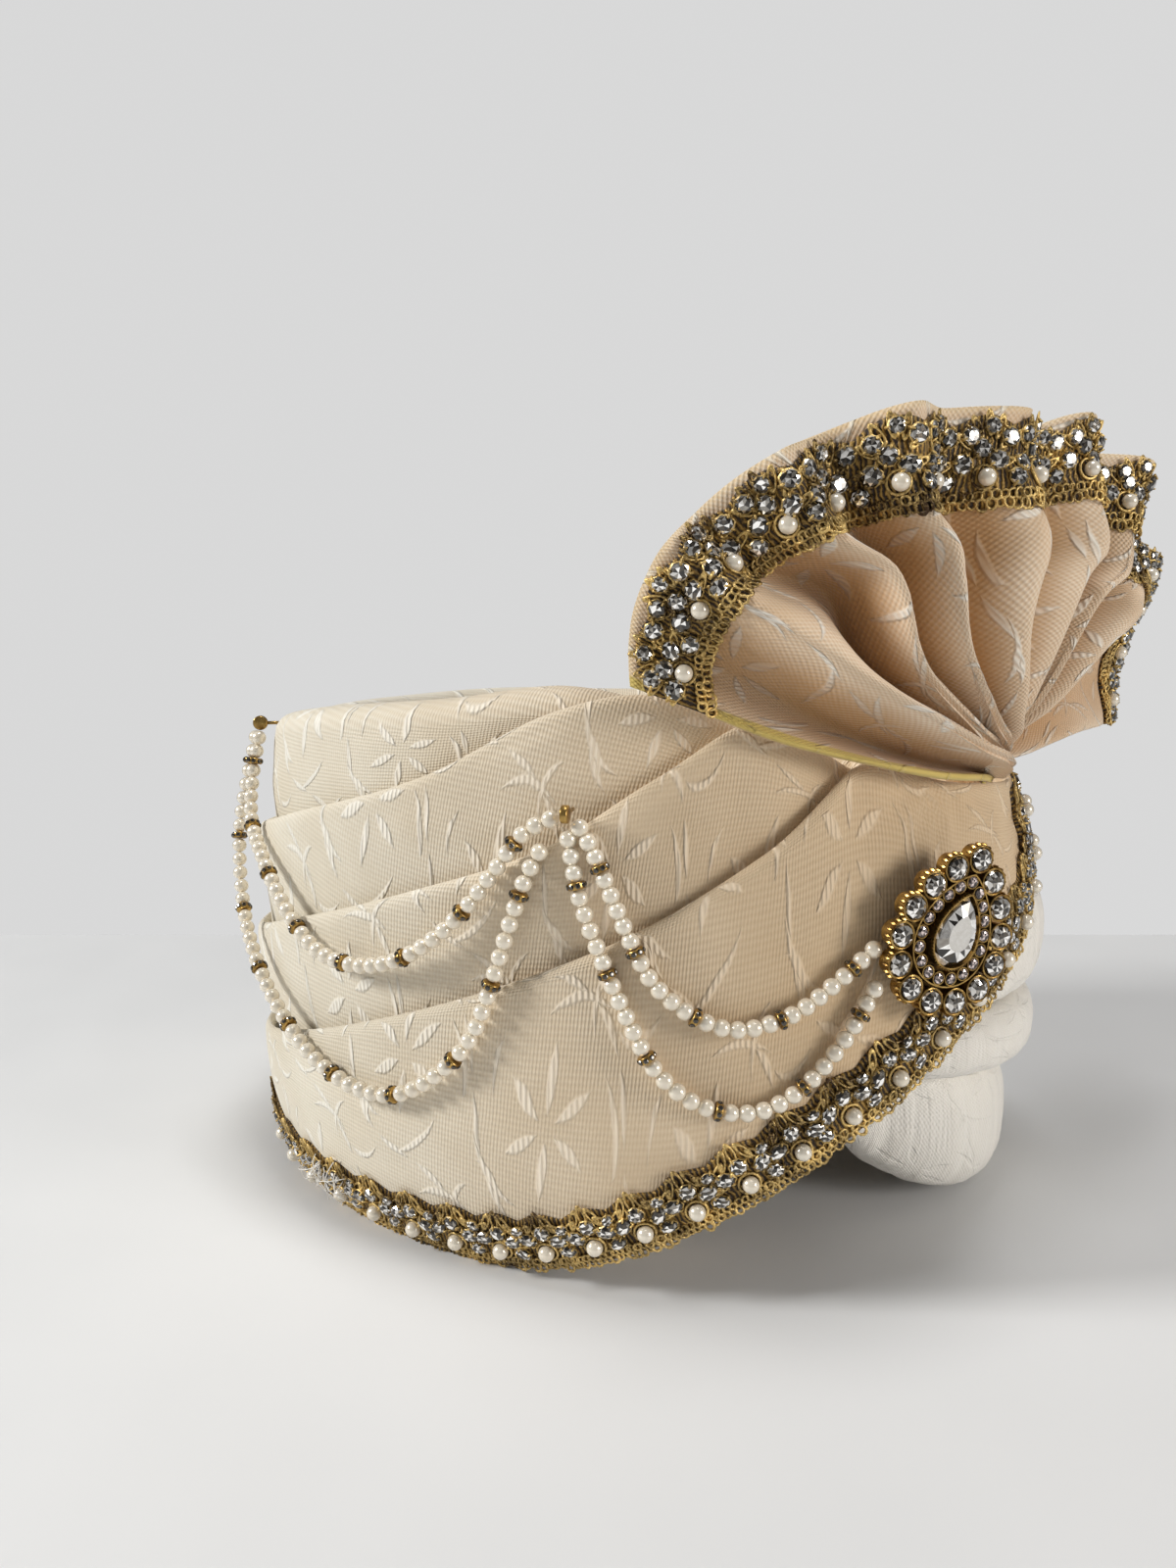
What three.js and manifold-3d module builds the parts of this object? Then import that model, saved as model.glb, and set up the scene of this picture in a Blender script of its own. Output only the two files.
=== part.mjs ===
// A pre-tied wedding turban: wound cloth on a head cap, four lapped outer wraps, stacked rolls at the
// front, a knife-pleated fan, gold lace trim, a pear brooch and four swags of pearls.
// Millimetres, +Z up. The front of the turban faces -Y and the wearer's right is -X.
// It rests on the table at z = 0. A turn is the angle round the turban in degrees: 0 at the front,
// 90 at the wearer's right, 180 at the back and -90 at the wearer's left.
import * as THREE from "three";
import { mergeVertices } from "three/addons/utils/BufferGeometryUtils.js";
import Module from "manifold-3d";

const manifold = await Module();
manifold.setup();

// Driving dimensions of the whole turban
const AXIS = { x: 2.92, y: 15.17 };
const HALF_WIDTH = 121;
const HALF_FRONT = 134;
const HALF_BACK = 146;
const LEFT_DROP = 0.085;
const CLOTH = 2.4;
const FOLD = 4.0;
const GAP = 0.4;
const LAP = 13;
const FRONT_LAP = 5;
const STATIONS = 40;

// How far the outer surface stands from the plan outline, by share of the local height
const SIDE_PROFILE = [
  { share: 0.0, out: -9.5 },
  { share: 0.06, out: -5.5 },
  { share: 0.14, out: -1.8 },
  { share: 0.26, out: 0.5 },
  { share: 0.46, out: 1.0 },
  { share: 0.68, out: -0.6 },
  { share: 0.86, out: -4.5 },
  { share: 1.0, out: -10.0 },
];

// Heights of the folds round one side: the rim, the top folds of wraps 2, 3 and 4, and the hem
const FOLD_LINES = [
  { turn: 0, rim: 123, second: 127, third: 130, fourth: 140, hem: 116 },
  { turn: 15, rim: 124, second: 128, third: 132, fourth: 143, hem: 95 },
  { turn: 30, rim: 128, second: 132, third: 137, fourth: 147, hem: 78 },
  { turn: 45, rim: 143, second: 148, third: 152, fourth: 154, hem: 57 },
  { turn: 60, rim: 157, second: 162, third: 167, fourth: 132, hem: 35 },
  { turn: 75, rim: 170, second: 174, third: 152, fourth: 112.5, hem: 16 },
  { turn: 90, rim: 175.5, second: 169, third: 132, fourth: 97, hem: 5.5 },
  { turn: 110, rim: 171, second: 149, third: 116, fourth: 79.5, hem: 1.8 },
  { turn: 135, rim: 166, second: 133, third: 98, fourth: 60, hem: 1.5 },
  { turn: 160, rim: 159, second: 119, third: 82, fourth: 44, hem: 1.5 },
  { turn: 180, rim: 156, second: 114, third: 78, fourth: 40, hem: 1.5 },
];
const WRAPS = ["rim", "second", "third", "fourth"];
const FRONT_SLIT = 0.6;

// The head cap inside
const HEAD = { halfWidth: 78, halfLength: 97, back: 8, springZ: 78, topZ: 131 };

// Padded rolls stacked in the opening at the front
const ROLLS = [
  { name: "front_roll_upper", low: 70, high: 109, out: 0, thick: 26, reach: 33, rise: -5 },
  { name: "front_roll_middle", low: 47.5, high: 69.5, out: -6.5, thick: 20, reach: 40, rise: 2 },
  { name: "front_roll_lower", low: 0, high: 47, out: -14, thick: 26, reach: 42, rise: 12 },
];

// The lower edge of the gold trim on one side, from the front apex to the back
const TRIM_PATH = [
  { turn: 0.6, z: 139 },
  { turn: 0.7, z: 126 },
  { turn: 1.8, z: 113 },
  { turn: 8, z: 101 },
  { turn: 17, z: 90 },
  { turn: 28, z: 77 },
  { turn: 45, z: 54 },
  { turn: 62, z: 31 },
  { turn: 74, z: 16.5 },
  { turn: 84, z: 7.5 },
  { turn: 94, z: 2.2 },
  { turn: 106, z: 0.2 },
  { turn: 125, z: 0 },
  { turn: 152, z: 0 },
  { turn: 179.8, z: 0 },
];
const TRIM = { width: 19, thick: 2.2, steps: 40 };

// The fan: its foot in plan from the wearer's left to the back, and its creases as seen laid flat,
// each with its angle, its length from the neck and how far it stands to the front
const FAN_FOOT = [
  { x: 92, y: -161 },
  { x: 60, y: -149.5 },
  { x: 28, y: -137.5 },
  { x: -4, y: -125.5 },
  { x: -30, y: -117 },
  { x: -50, y: -114 },
  { x: -69, y: -105 },
  { x: -88, y: -88 },
  { x: -102, y: -65 },
  { x: -111, y: -42 },
  { x: -117, y: -15 },
  { x: -119, y: 8 },
];
const FAN_NECK_POINT = 4;
const FAN_CREASES = [
  { angle: 13, reach: 141, stand: 1 },
  { angle: 21, reach: 146, stand: 2 },
  { angle: 27.5, reach: 146, stand: 9 },
  { angle: 33, reach: 143, stand: -3 },
  { angle: 42, reach: 137, stand: 9 },
  { angle: 48, reach: 131, stand: -6 },
  { angle: 57, reach: 125, stand: 10 },
  { angle: 64, reach: 117, stand: -7 },
  { angle: 76, reach: 110, stand: 11 },
  { angle: 90, reach: 106, stand: -8 },
  { angle: 102, reach: 116, stand: 10 },
  { angle: 111, reach: 111, stand: -5 },
  { angle: 122, reach: 115, stand: 10 },
  { angle: 133, reach: 108, stand: -5 },
  { angle: 148, reach: 124, stand: 9 },
  { angle: 163, reach: 119, stand: -2 },
  { angle: 177, reach: 110, stand: 6 },
];
const FAN = { z: 145.5, thick: 2.0, neckHalf: 9, tuck: 7, leanNear: 0.05, leanFar: 0.24 };
const FAN_SHARES = [0.14, 0.32, 0.56];
const FAN_TRIM = { width: 19, edge: 4, thick: 2.0, lift: 1.1 };

// Pearl swags on the wearer's right, hung from two pins and the brooch. out is how much further
// than STRAND.stand a row's point stands from the cloth
const PEARL = 5.0;
const STRAND = { stand: 4.4, steps: 20, sides: 8 };
const STRANDS = [
  {
    name: "pearl_strand_front_upper",
    rows: [
      { turn: 85.8, z: 137.5, out: 0 },
      { turn: 83, z: 126, out: 0 },
      { turn: 79.5, z: 108, out: 0 },
      { turn: 74, z: 91, out: 0 },
      { turn: 66, z: 83, out: 0 },
      { turn: 58.5, z: 87, out: 0 },
      { turn: 51.5, z: 99, out: 1 },
    ],
  },
  {
    name: "pearl_strand_front_lower",
    rows: [
      { turn: 87.6, z: 131, out: 0 },
      { turn: 85, z: 112, out: 0 },
      { turn: 81, z: 90, out: 0 },
      { turn: 75.5, z: 68, out: 0 },
      { turn: 67, z: 58.5, out: 0 },
      { turn: 59, z: 64, out: 0 },
      { turn: 53, z: 79, out: 0 },
      { turn: 49.5, z: 91, out: 1 },
    ],
  },
  {
    name: "pearl_strand_back_upper",
    rows: [
      { turn: 90.6, z: 139.5, out: 0 },
      { turn: 96, z: 126, out: 0 },
      { turn: 104, z: 106, out: 0 },
      { turn: 115, z: 91, out: 0 },
      { turn: 128, z: 87, out: 0 },
      { turn: 142, z: 95, out: 0 },
      { turn: 151, z: 114, out: 1 },
      { turn: 154.5, z: 147, out: 2.5 },
    ],
  },
  {
    name: "pearl_strand_back_lower",
    rows: [
      { turn: 91.2, z: 130, out: 0 },
      { turn: 94.5, z: 113, out: 0 },
      { turn: 98, z: 86, out: 0 },
      { turn: 106, z: 61, out: 0 },
      { turn: 118, z: 48, out: 0 },
      { turn: 131, z: 48, out: 0 },
      { turn: 145, z: 60, out: 0.5 },
      { turn: 155.5, z: 90, out: 2 },
      { turn: 159, z: 146, out: 3.5 },
    ],
  },
];
const PINS = [
  { name: "strand_pin_middle", turn: 88.4, z: 139.5, stand: 2 },
  { name: "strand_pin_back", turn: 156.7, z: 151.5, stand: 2.5 },
];
const PIN = { radius: 2.6, length: 6 };

// The brooch: a pear of stones in collets
const BROOCH = {
  turn: 35,
  z: 106,
  stand: 6.2,
  facing: 50,
  lean: 21,
  plate: 1.6,
  wall: 6.4,
  wallThick: 0.9,
  valley: 0.8,
};
const BROOCH_POST = { radius: 1.2, length: 2.4, x: -4 };
const OUTER_STONES = { count: 14, radius: 2.85, high: 3.4, halfWidth: 18.6, halfHeight: 21.4, sides: 8 };
const INNER_STONES = { count: 16, radius: 1.5, high: 1.6, halfWidth: 11.4, halfHeight: 14.0, sides: 6 };
const CENTRE_STONE = { halfWidth: 6.9, halfHeight: 9.6, high: 5.2, sides: 16 };

const COLOURS = {
  brocade: 0xe9dcc6,
  fanCloth: 0xdcc19c,
  rolls: 0xe8e1d6,
  lining: 0xd9cdb9,
  gold: 0xa9822f,
  lace: 0x8c6d2c,
  crystal: 0xdfe3e6,
  pearl: 0xf3ead9,
};

const radians = THREE.MathUtils.degToRad;
const clamp = THREE.MathUtils.clamp;

// A smooth curve through a table's rows: the value of one column at a value of the first column
function tableCurve(rows, key, column) {
  return (at) => {
    const last = rows.length - 1;
    let i = 0;
    while (i < last - 1 && rows[i + 1][key] < at) i += 1;
    const span = rows[i + 1][key] - rows[i][key];
    const t = clamp((at - rows[i][key]) / span, 0, 1);
    const from = rows[i][column];
    const to = rows[i + 1][column];
    const slope = (j) => {
      const a = Math.max(j - 1, 0);
      const b = Math.min(j + 1, last);
      return (rows[b][column] - rows[a][column]) / (rows[b][key] - rows[a][key]);
    };
    const t2 = t * t;
    const t3 = t2 * t;
    return (2 * t3 - 3 * t2 + 1) * from + (t3 - 2 * t2 + t) * span * slope(i)
      + (3 * t2 - 2 * t3) * to + (t3 - t2) * span * slope(i + 1);
  };
}

const profileAt = tableCurve(SIDE_PROFILE, "share", "out");
const lineAt = Object.fromEntries(
  [...WRAPS, "hem"].map((column) => [column, tableCurve(FOLD_LINES, "turn", column)]),
);

// The plan outline: half an ellipse in front and a longer half behind
function outline(turn, halfWidth = HALF_WIDTH, halfFront = HALF_FRONT, halfBack = HALF_BACK) {
  const cos = Math.cos(radians(turn));
  const sin = Math.sin(radians(turn));
  const halfLength = cos > 0 ? halfFront : halfBack;
  return 1 / Math.hypot(cos / halfLength, sin / halfWidth);
}

// The height of a fold line. The wearer's left side is a little lower than the right
function lineHeight(column, turn) {
  const side = Math.sin(radians(turn));
  const drop = side < 0 ? 1 - LEFT_DROP * side * side : 1;
  return lineAt[column](Math.abs(turn)) * drop;
}

function topHeight(turn) {
  return Math.max(...WRAPS.map((column) => lineHeight(column, turn)));
}

function surfaceRadius(turn, z) {
  return outline(turn) + profileAt(clamp(z / topHeight(turn), 0, 1));
}

function place(turn, radius, z) {
  const a = radians(turn);
  return new THREE.Vector3(AXIS.x - radius * Math.sin(a), AXIS.y - radius * Math.cos(a), z);
}

// A closed solid through rings of points. A loop joins its last ring to its first; an open one has
// two flat ends, whose triangles are found on the ring's own flat shape
function solidThroughRings(rings, isLoop, flatShape) {
  const count = rings[0].length;
  const positions = rings.flat().flatMap((p) => [p.x, p.y, p.z]);
  const faces = [];
  const spans = isLoop ? rings.length : rings.length - 1;
  for (let i = 0; i < spans; i += 1) {
    const next = (i + 1) % rings.length;
    for (let j = 0; j < count; j += 1) {
      const k = (j + 1) % count;
      const a = i * count + j;
      const b = i * count + k;
      const c = next * count + k;
      const d = next * count + j;
      faces.push([a, b, c], [a, c, d]);
    }
  }
  if (!isLoop) {
    for (const [at, flip] of [[0, true], [rings.length - 1, false]]) {
      const flat = flatShape(at);
      const caps = THREE.ShapeUtils.triangulateShape(flat, []);
      const turned = THREE.ShapeUtils.isClockWise(flat) ? 1 : 0;
      for (const [a, b, c] of caps) {
        const base = at * count;
        const outward = flip === Boolean(turned);
        faces.push(outward ? [base + a, base + b, base + c] : [base + a, base + c, base + b]);
      }
    }
  }
  return outwardGeometry(positions, faces);
}

// An indexed geometry whose faces point out, whichever way its rings ran
function outwardGeometry(positions, faces) {
  const at = (i) => new THREE.Vector3().fromArray(positions, 3 * i);
  let volume = 0;
  for (const [a, b, c] of faces) volume += at(a).dot(at(b).cross(at(c))) / 6;
  const index = faces.flatMap(([a, b, c]) => (volume > 0 ? [a, b, c] : [a, c, b]));
  const geometry = new THREE.BufferGeometry();
  geometry.setAttribute("position", new THREE.Float32BufferAttribute(positions, 3));
  geometry.setIndex(index);
  return geometry;
}

// Stations round the turban: a whole loop, or open at the front slit
function turnsRound(isLoop, count = STATIONS) {
  if (isLoop) return Array.from({ length: count }, (_, i) => -180 + (360 * i) / count);
  const span = 180 - FRONT_SLIT;
  return Array.from({ length: count + 1 }, (_, i) => FRONT_SLIT + (2 * span * i) / count)
    .map((turn) => (turn > 180 ? turn - 360 : turn));
}

// How far a wrap's outer side stands from the surface. A wrap lies under the next lower one as far
// as that one's top fold, and billows out above it
const WRAP_STEP = FOLD + GAP + 0.8;
const BILLOW = 0.17;
function wrapOffset(k, turn, z) {
  if (k === WRAPS.length - 1) return 0;
  const fold = lineHeight(WRAPS[k + 1], turn);
  const under = wrapOffset(k + 1, turn, Math.min(z, fold)) - WRAP_STEP;
  return Math.min(0.4, under + BILLOW * Math.max(0, z - fold));
}

function lapAt(turn) {
  return FRONT_LAP + (LAP - FRONT_LAP) * clamp((Math.abs(turn) - 25) / 20, 0, 1);
}

// The section of wraps 2 to 4: one wall of cloth, doubled at its top fold
function foldedSection(k, turn) {
  const top = lineHeight(WRAPS[k], turn);
  const lower = k < 3 ? lineHeight(WRAPS[k + 1], turn) : lineHeight("hem", turn) + LAP;
  const foot = k < 3 ? Math.min(lower, top - 6) - lapAt(turn) : lineHeight("hem", turn);
  const seam = Math.max(foot + 2, Math.min(lower, top - 9));
  const at = (z, inward) => ({ r: surfaceRadius(turn, z) + wrapOffset(k, turn, z) - inward, z });
  const mid = (share) => seam + (top - 5 - seam) * share;
  return [
    at(foot, 0),
    at(seam, 0),
    at(mid(0.4), 0),
    at(mid(0.75), 0),
    at(top - 4.2, 0.2),
    at(top - 1.4, 1.0),
    at(top, 2.4),
    at(top - 0.8, FOLD - 0.4),
    at(top - 4, FOLD),
    at(top - 5.6, CLOTH + 0.3),
    at(seam, CLOTH),
    at(foot, CLOTH),
  ];
}

// The section of wrap 1: over the rim and down inside it
const LIP = { width: 18, depth: 23 };
function rimSection(turn) {
  const top = lineHeight("rim", turn);
  const lower = Math.min(lineHeight("second", turn), top - 8);
  const foot = lower - lapAt(turn);
  const at = (z, inward) => ({ r: surfaceRadius(turn, z) + wrapOffset(0, turn, z) - inward, z });
  const crest = at(top - 7, 0).r;
  const over = (inward, down) => ({ r: crest - inward, z: top - down });
  const w = LIP.width;
  return [
    at(foot, 0),
    at(lower, 0),
    over(0, 7),
    over(2.2, 2.2),
    over(w * 0.42, 0),
    over(w * 0.76, 2.4),
    over(w * 0.95, 9),
    over(w, LIP.depth),
    over(w - CLOTH, LIP.depth),
    over(w * 0.95 - CLOTH, 10),
    over(w * 0.72, 4.8),
    over(w * 0.42, CLOTH),
    over(4.2, 4.6),
    over(CLOTH, 8.2),
    at(lower, CLOTH),
    at(foot, CLOTH),
  ];
}

function ringSolid(turns, isLoop, section) {
  const rings = turns.map((turn) => section(turn).map(({ r, z }) => place(turn, r, z)));
  const flat = (i) => section(turns[i]).map(({ r, z }) => new THREE.Vector2(r, z));
  return solidThroughRings(rings, isLoop, flat);
}

// The head cap: a thin dome that is open below, over a hollow for the head
function capRadius(turn, z, extra) {
  const share = clamp((z - HEAD.springZ) / (HEAD.topZ + extra - HEAD.springZ), 0, 1);
  const shrink = Math.sqrt(Math.max(0, 1 - share * share));
  const front = HEAD.halfLength - HEAD.back;
  const back = HEAD.halfLength + HEAD.back;
  return (outline(turn, HEAD.halfWidth, front, back) + extra) * shrink;
}

function capFoot(turn) {
  return Math.max(1.2, lineHeight("hem", turn) * 0.85 - 2);
}

function headCap() {
  const turns = turnsRound(true, 32);
  const levels = [0, 0.3, 0.6, 0.8, 0.92, 0.98];
  const shell = (extra) => {
    const top = HEAD.topZ + extra;
    return levels.map((share) => turns.map((turn) => {
      const foot = capFoot(turn);
      const z = share <= 0.3 ? foot + (HEAD.springZ - foot) * (share / 0.3)
        : HEAD.springZ + (top - HEAD.springZ) * Math.sin(((share - 0.3) / 0.7) * (Math.PI / 2));
      return place(turn, capRadius(turn, z, extra), z);
    }));
  };
  const outer = shell(CLOTH);
  const inner = shell(0);
  const rings = [...inner.slice().reverse(), ...outer];
  const count = turns.length;
  const positions = rings.flat().flatMap((p) => [p.x, p.y, p.z]);
  const faces = [];
  for (let i = 0; i < rings.length - 1; i += 1) {
    for (let j = 0; j < count; j += 1) {
      const k = (j + 1) % count;
      const [a, b, c, d] = [i * count + j, i * count + k, (i + 1) * count + k, (i + 1) * count + j];
      faces.push([a, b, c], [a, c, d]);
    }
  }
  const poles = [HEAD.topZ, HEAD.topZ + CLOTH].map((z, i) => {
    positions.push(AXIS.x, AXIS.y, z);
    return rings.length * count + i;
  });
  for (let j = 0; j < count; j += 1) {
    const k = (j + 1) % count;
    const last = (rings.length - 1) * count;
    faces.push([poles[0], k, j], [poles[1], last + j, last + k]);
  }
  return outwardGeometry(positions, faces);
}

// The wound cloth between the cap and the outer wraps, its foot raised at the front with the hem
const CORE = { inset: 12, frontInset: 22, depth: 25, clear: 3.9, mouthZ: 117 };
function coreSection(turn) {
  const frontShare = clamp((70 - Math.abs(turn)) / 30, 0, 1);
  const inset = CORE.inset + CORE.frontInset * frontShare;
  const top = lineHeight("rim", turn) - CORE.depth;
  const hem = lineHeight("hem", turn);
  const raised = clamp((96 - Math.abs(turn)) / 8, 0, 1);
  const foot = Math.min(top - 12, (hem + 8) * raised);
  const outer = (z) => surfaceRadius(turn, z) - inset;
  const inner = (z) => capRadius(turn, Math.min(z, CORE.mouthZ), CLOTH) + CORE.clear;
  const mid = foot + (top - foot) * 0.45;
  const innerLevels = [1, 0.75, 0.5, 0.25].map((share) => foot + (top - foot) * share);
  return [
    { r: inner(foot), z: foot },
    { r: outer(foot), z: foot },
    { r: outer(mid), z: mid },
    { r: outer(top - 5), z: top - 5 },
    { r: outer(top - 5) - 3, z: top },
    ...innerLevels.map((z) => ({ r: inner(z), z })),
  ];
}

// A padded roll: an oval section across the front, whose ends rise and taper behind the wraps
function rollSolid({ low, high, out, thick, reach, rise }) {
  const spans = 12;
  const sides = 10;
  const half = (high - low) / 2;
  const rings = [];
  for (let i = 0; i <= spans; i += 1) {
    const share = (2 * i) / spans - 1;
    const turn = reach * share;
    const taper = Math.sqrt(1 - 0.9 * Math.abs(share) ** 3);
    const inward = out - 5 * Math.min(1, 4 * share * share) - 4 * share * share;
    const centre = outline(turn) + inward - thick / 2;
    const z = low + half + rise * share * share;
    rings.push(Array.from({ length: sides }, (_, j) => {
      const a = (2 * Math.PI * j) / sides;
      const puff = (value) => Math.sign(value) * Math.abs(value) ** 0.8;
      const radius = centre + (thick / 2) * taper * puff(Math.cos(a));
      return place(turn, radius, z + half * taper * puff(Math.sin(a)));
    }));
  }
  const flat = () => Array.from({ length: sides }, (_, j) => {
    const a = (2 * Math.PI * j) / sides;
    return new THREE.Vector2(Math.cos(a), Math.sin(a));
  });
  return solidThroughRings(rings, false, flat);
}

// The gold trim on one side: a flat band on the lowest wrap, its lower edge on the trim's path
function trimSolid(side) {
  const rows = TRIM_PATH.map(({ turn, z }) => new THREE.Vector3(outline(90) * radians(turn), z, 0));
  const path = new THREE.CatmullRomCurve3(rows, false, "centripetal");
  const rings = [];
  for (let i = 0; i <= TRIM.steps; i += 1) {
    const u = i / TRIM.steps;
    const p = path.getPointAt(u);
    const t = path.getTangentAt(u);
    const across = (share, stand) => {
      const turn = THREE.MathUtils.radToDeg((p.x - t.y * TRIM.width * share) / outline(90));
      const z = p.y + t.x * TRIM.width * share;
      const settled = Math.max(0, z);
      return place(side * turn, surfaceRadius(side * turn, settled) + stand, settled);
    };
    const inner = GAP;
    const outer = GAP + TRIM.thick;
    rings.push([
      across(0, inner), across(0, outer), across(0.34, outer), across(0.67, outer),
      across(1, outer), across(1, inner), across(0.67, inner), across(0.34, inner),
    ]);
  }
  const flat = () => [0, 0.34, 0.67, 1].map((x) => [x, 1])
    .concat([1, 0.67, 0.34, 0].map((x) => [x, 0]))
    .map(([x, y]) => new THREE.Vector2(x, y));
  const ordered = rings.map((r) => [r[1], r[2], r[3], r[4], r[5], r[6], r[7], r[0]]);
  return solidThroughRings(ordered, false, flat);
}

// A point of the fan, from its place when laid flat (along the foot and up) and how far it stands
// to the front of the fan's own curved surface
const fanFoot = new THREE.CatmullRomCurve3(
  FAN_FOOT.map(({ x, y }) => new THREE.Vector3(x, y, 0)), false, "centripetal",
);
fanFoot.arcLengthDivisions = 400;
const fanFootLength = fanFoot.getLength();
const fanNeckLength = lengthTo(fanFoot, FAN_FOOT[FAN_NECK_POINT]);

function lengthTo(curve, { x, y }) {
  const target = new THREE.Vector3(x, y, 0);
  let best = 0;
  for (let i = 0; i <= 400; i += 1) {
    if (curve.getPointAt(i / 400).distanceTo(target) < curve.getPointAt(best).distanceTo(target)) {
      best = i / 400;
    }
  }
  return best * curve.getLength();
}

function fanPoint(along, up, stand) {
  const u = clamp((fanNeckLength + along) / fanFootLength, 0, 1);
  const p = fanFoot.getPointAt(u);
  const t = fanFoot.getTangentAt(u);
  const front = new THREE.Vector3(t.y, -t.x, 0);
  if (front.dot(p) < 0) front.negate();
  const far = clamp(-along / 60, 0, 1);
  const lean = FAN.leanNear + (FAN.leanFar - FAN.leanNear) * far;
  p.addScaledVector(front, stand + lean * Math.max(0, up));
  return new THREE.Vector3(p.x + AXIS.x, p.y + AXIS.y, FAN.z + up);
}

// A point on a crease: at a distance from the neck, standing out more the nearer the rim
function creasePoint({ angle, reach, stand }, share, lift) {
  const a = radians(angle);
  const cos = Math.cos(a);
  const along = FAN.neckHalf * cos + (reach - FAN.neckHalf) * share * cos;
  const up = Math.sin(a) * reach * share;
  const settle = -6 * Math.max(0, 1 - share / 0.2);
  return fanPoint(along, up, stand * Math.min(1, 0.25 + share) + lift + settle);
}

function neckPoint({ angle, stand }, lift) {
  const along = FAN.neckHalf * Math.cos(radians(angle));
  return fanPoint(along, -FAN.tuck, stand * 0.2 + lift - 7);
}

function creasesWithMiddles() {
  const rows = [];
  FAN_CREASES.forEach((row, i) => {
    if (i > 0) {
      const before = FAN_CREASES[i - 1];
      const between = (column) => (row[column] + before[column]) / 2;
      rows.push({ angle: between("angle"), reach: between("reach") + 1, stand: between("stand") });
    }
    rows.push(row);
  });
  return rows;
}

// Where the trim's two edges and its middle cross a crease
function trimShares({ reach }) {
  const from = 1 - (FAN_TRIM.width + FAN_TRIM.edge) / reach;
  const to = 1 - FAN_TRIM.edge / reach;
  return [from, (from + to) / 2, to];
}

function pleatedFan() {
  const shares = (row) => [0, ...FAN_SHARES, ...trimShares(row), 1];
  const rings = creasesWithMiddles().map((row) => [
    neckPoint(row, 0),
    ...shares(row).map((share) => creasePoint(row, share, 0)),
    ...shares(row).reverse().map((share) => creasePoint(row, share, -FAN.thick)),
    neckPoint(row, -FAN.thick),
  ]);
  const heights = [-0.1, ...shares(FAN_CREASES[0])];
  const flat = () => [
    ...heights.map((y) => new THREE.Vector2(0, y)),
    ...heights.slice().reverse().map((y) => new THREE.Vector2(-1, y)),
  ];
  return solidThroughRings(rings, false, flat);
}

function fanTrim() {
  const rings = creasesWithMiddles().map((row) => {
    const [from, mid, to] = trimShares(row);
    const low = FAN_TRIM.lift;
    const high = low + FAN_TRIM.thick;
    return [
      creasePoint(row, from, high), creasePoint(row, mid, high), creasePoint(row, to, high),
      creasePoint(row, to, low), creasePoint(row, mid, low), creasePoint(row, from, low),
    ];
  });
  const flat = () => [[0, 1], [1, 1], [2, 1], [2, 0], [1, 0], [0, 0]]
    .map(([x, y]) => new THREE.Vector2(x, y));
  return solidThroughRings(rings, false, flat);
}

// A tube in place of a strand of pearls, laid along its rows
function strandTube(rows) {
  const points = rows.map(({ turn, z, out }) => (
    place(turn, surfaceRadius(turn, z) + STRAND.stand + out, z)
  ));
  const path = new THREE.CatmullRomCurve3(points, false, "centripetal");
  const circle = Array.from({ length: STRAND.sides }, (_, i) => {
    const a = (2 * Math.PI * i) / STRAND.sides;
    return new THREE.Vector2(Math.cos(a), Math.sin(a)).multiplyScalar(PEARL / 2);
  });
  return new THREE.ExtrudeGeometry(new THREE.Shape(circle), { steps: STRAND.steps, extrudePath: path });
}

// A teardrop with its tip up: the point at a share of the way round, spaced evenly by length
function pearCurve(halfWidth, halfHeight, count) {
  const fine = Array.from({ length: 361 }, (_, i) => {
    const a = radians(i);
    const x = halfWidth * 1.12 * Math.sin(a) * Math.sin(a / 2) ** 0.55;
    return new THREE.Vector3(x, halfHeight * Math.cos(a), 0);
  });
  const lengths = [0];
  for (let i = 1; i < fine.length; i += 1) lengths.push(lengths[i - 1] + fine[i].distanceTo(fine[i - 1]));
  const total = lengths[fine.length - 1];
  return Array.from({ length: count }, (_, i) => {
    const target = (total * i) / count;
    const j = Math.max(1, lengths.findIndex((length) => length >= target));
    const t = (target - lengths[j - 1]) / (lengths[j] - lengths[j - 1]);
    return fine[j - 1].clone().lerp(fine[j], clamp(t, 0, 1));
  });
}

// A cut stone: a table, a ring of crown facets, a girdle and a blunt pavilion
function cutStone(outlinePoints, high) {
  const centre = new THREE.Vector3();
  outlinePoints.forEach((p) => centre.addScaledVector(p, 1 / outlinePoints.length));
  const ring = (scale, z, twist) => outlinePoints.map((p, i) => {
    const q = twist ? p.clone().lerp(outlinePoints[(i + 1) % outlinePoints.length], 0.5) : p.clone();
    q.sub(centre).multiplyScalar(scale).add(centre);
    q.z = z;
    return q;
  });
  const rings = [ring(0.4, 0, false), ring(1, high * 0.55, false), ring(0.58, high, true)];
  const flat = (i) => rings[i].map((p) => new THREE.Vector2(p.x, p.y));
  return solidThroughRings(rings, false, flat);
}

function roundPoints(radius, sides) {
  return Array.from({ length: sides }, (_, i) => {
    const a = (2 * Math.PI * i) / sides;
    return new THREE.Vector3(radius * Math.cos(a), radius * Math.sin(a), 0);
  });
}

function toManifold(geometry) {
  const bare = geometry.clone();
  bare.deleteAttribute("normal");
  bare.deleteAttribute("uv");
  const merged = mergeVertices(bare, 1e-4);
  return new manifold.Manifold(new manifold.Mesh({
    numProp: 3,
    vertProperties: new Float32Array(merged.attributes.position.array),
    triVerts: new Uint32Array(merged.index.array),
  }));
}

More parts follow.
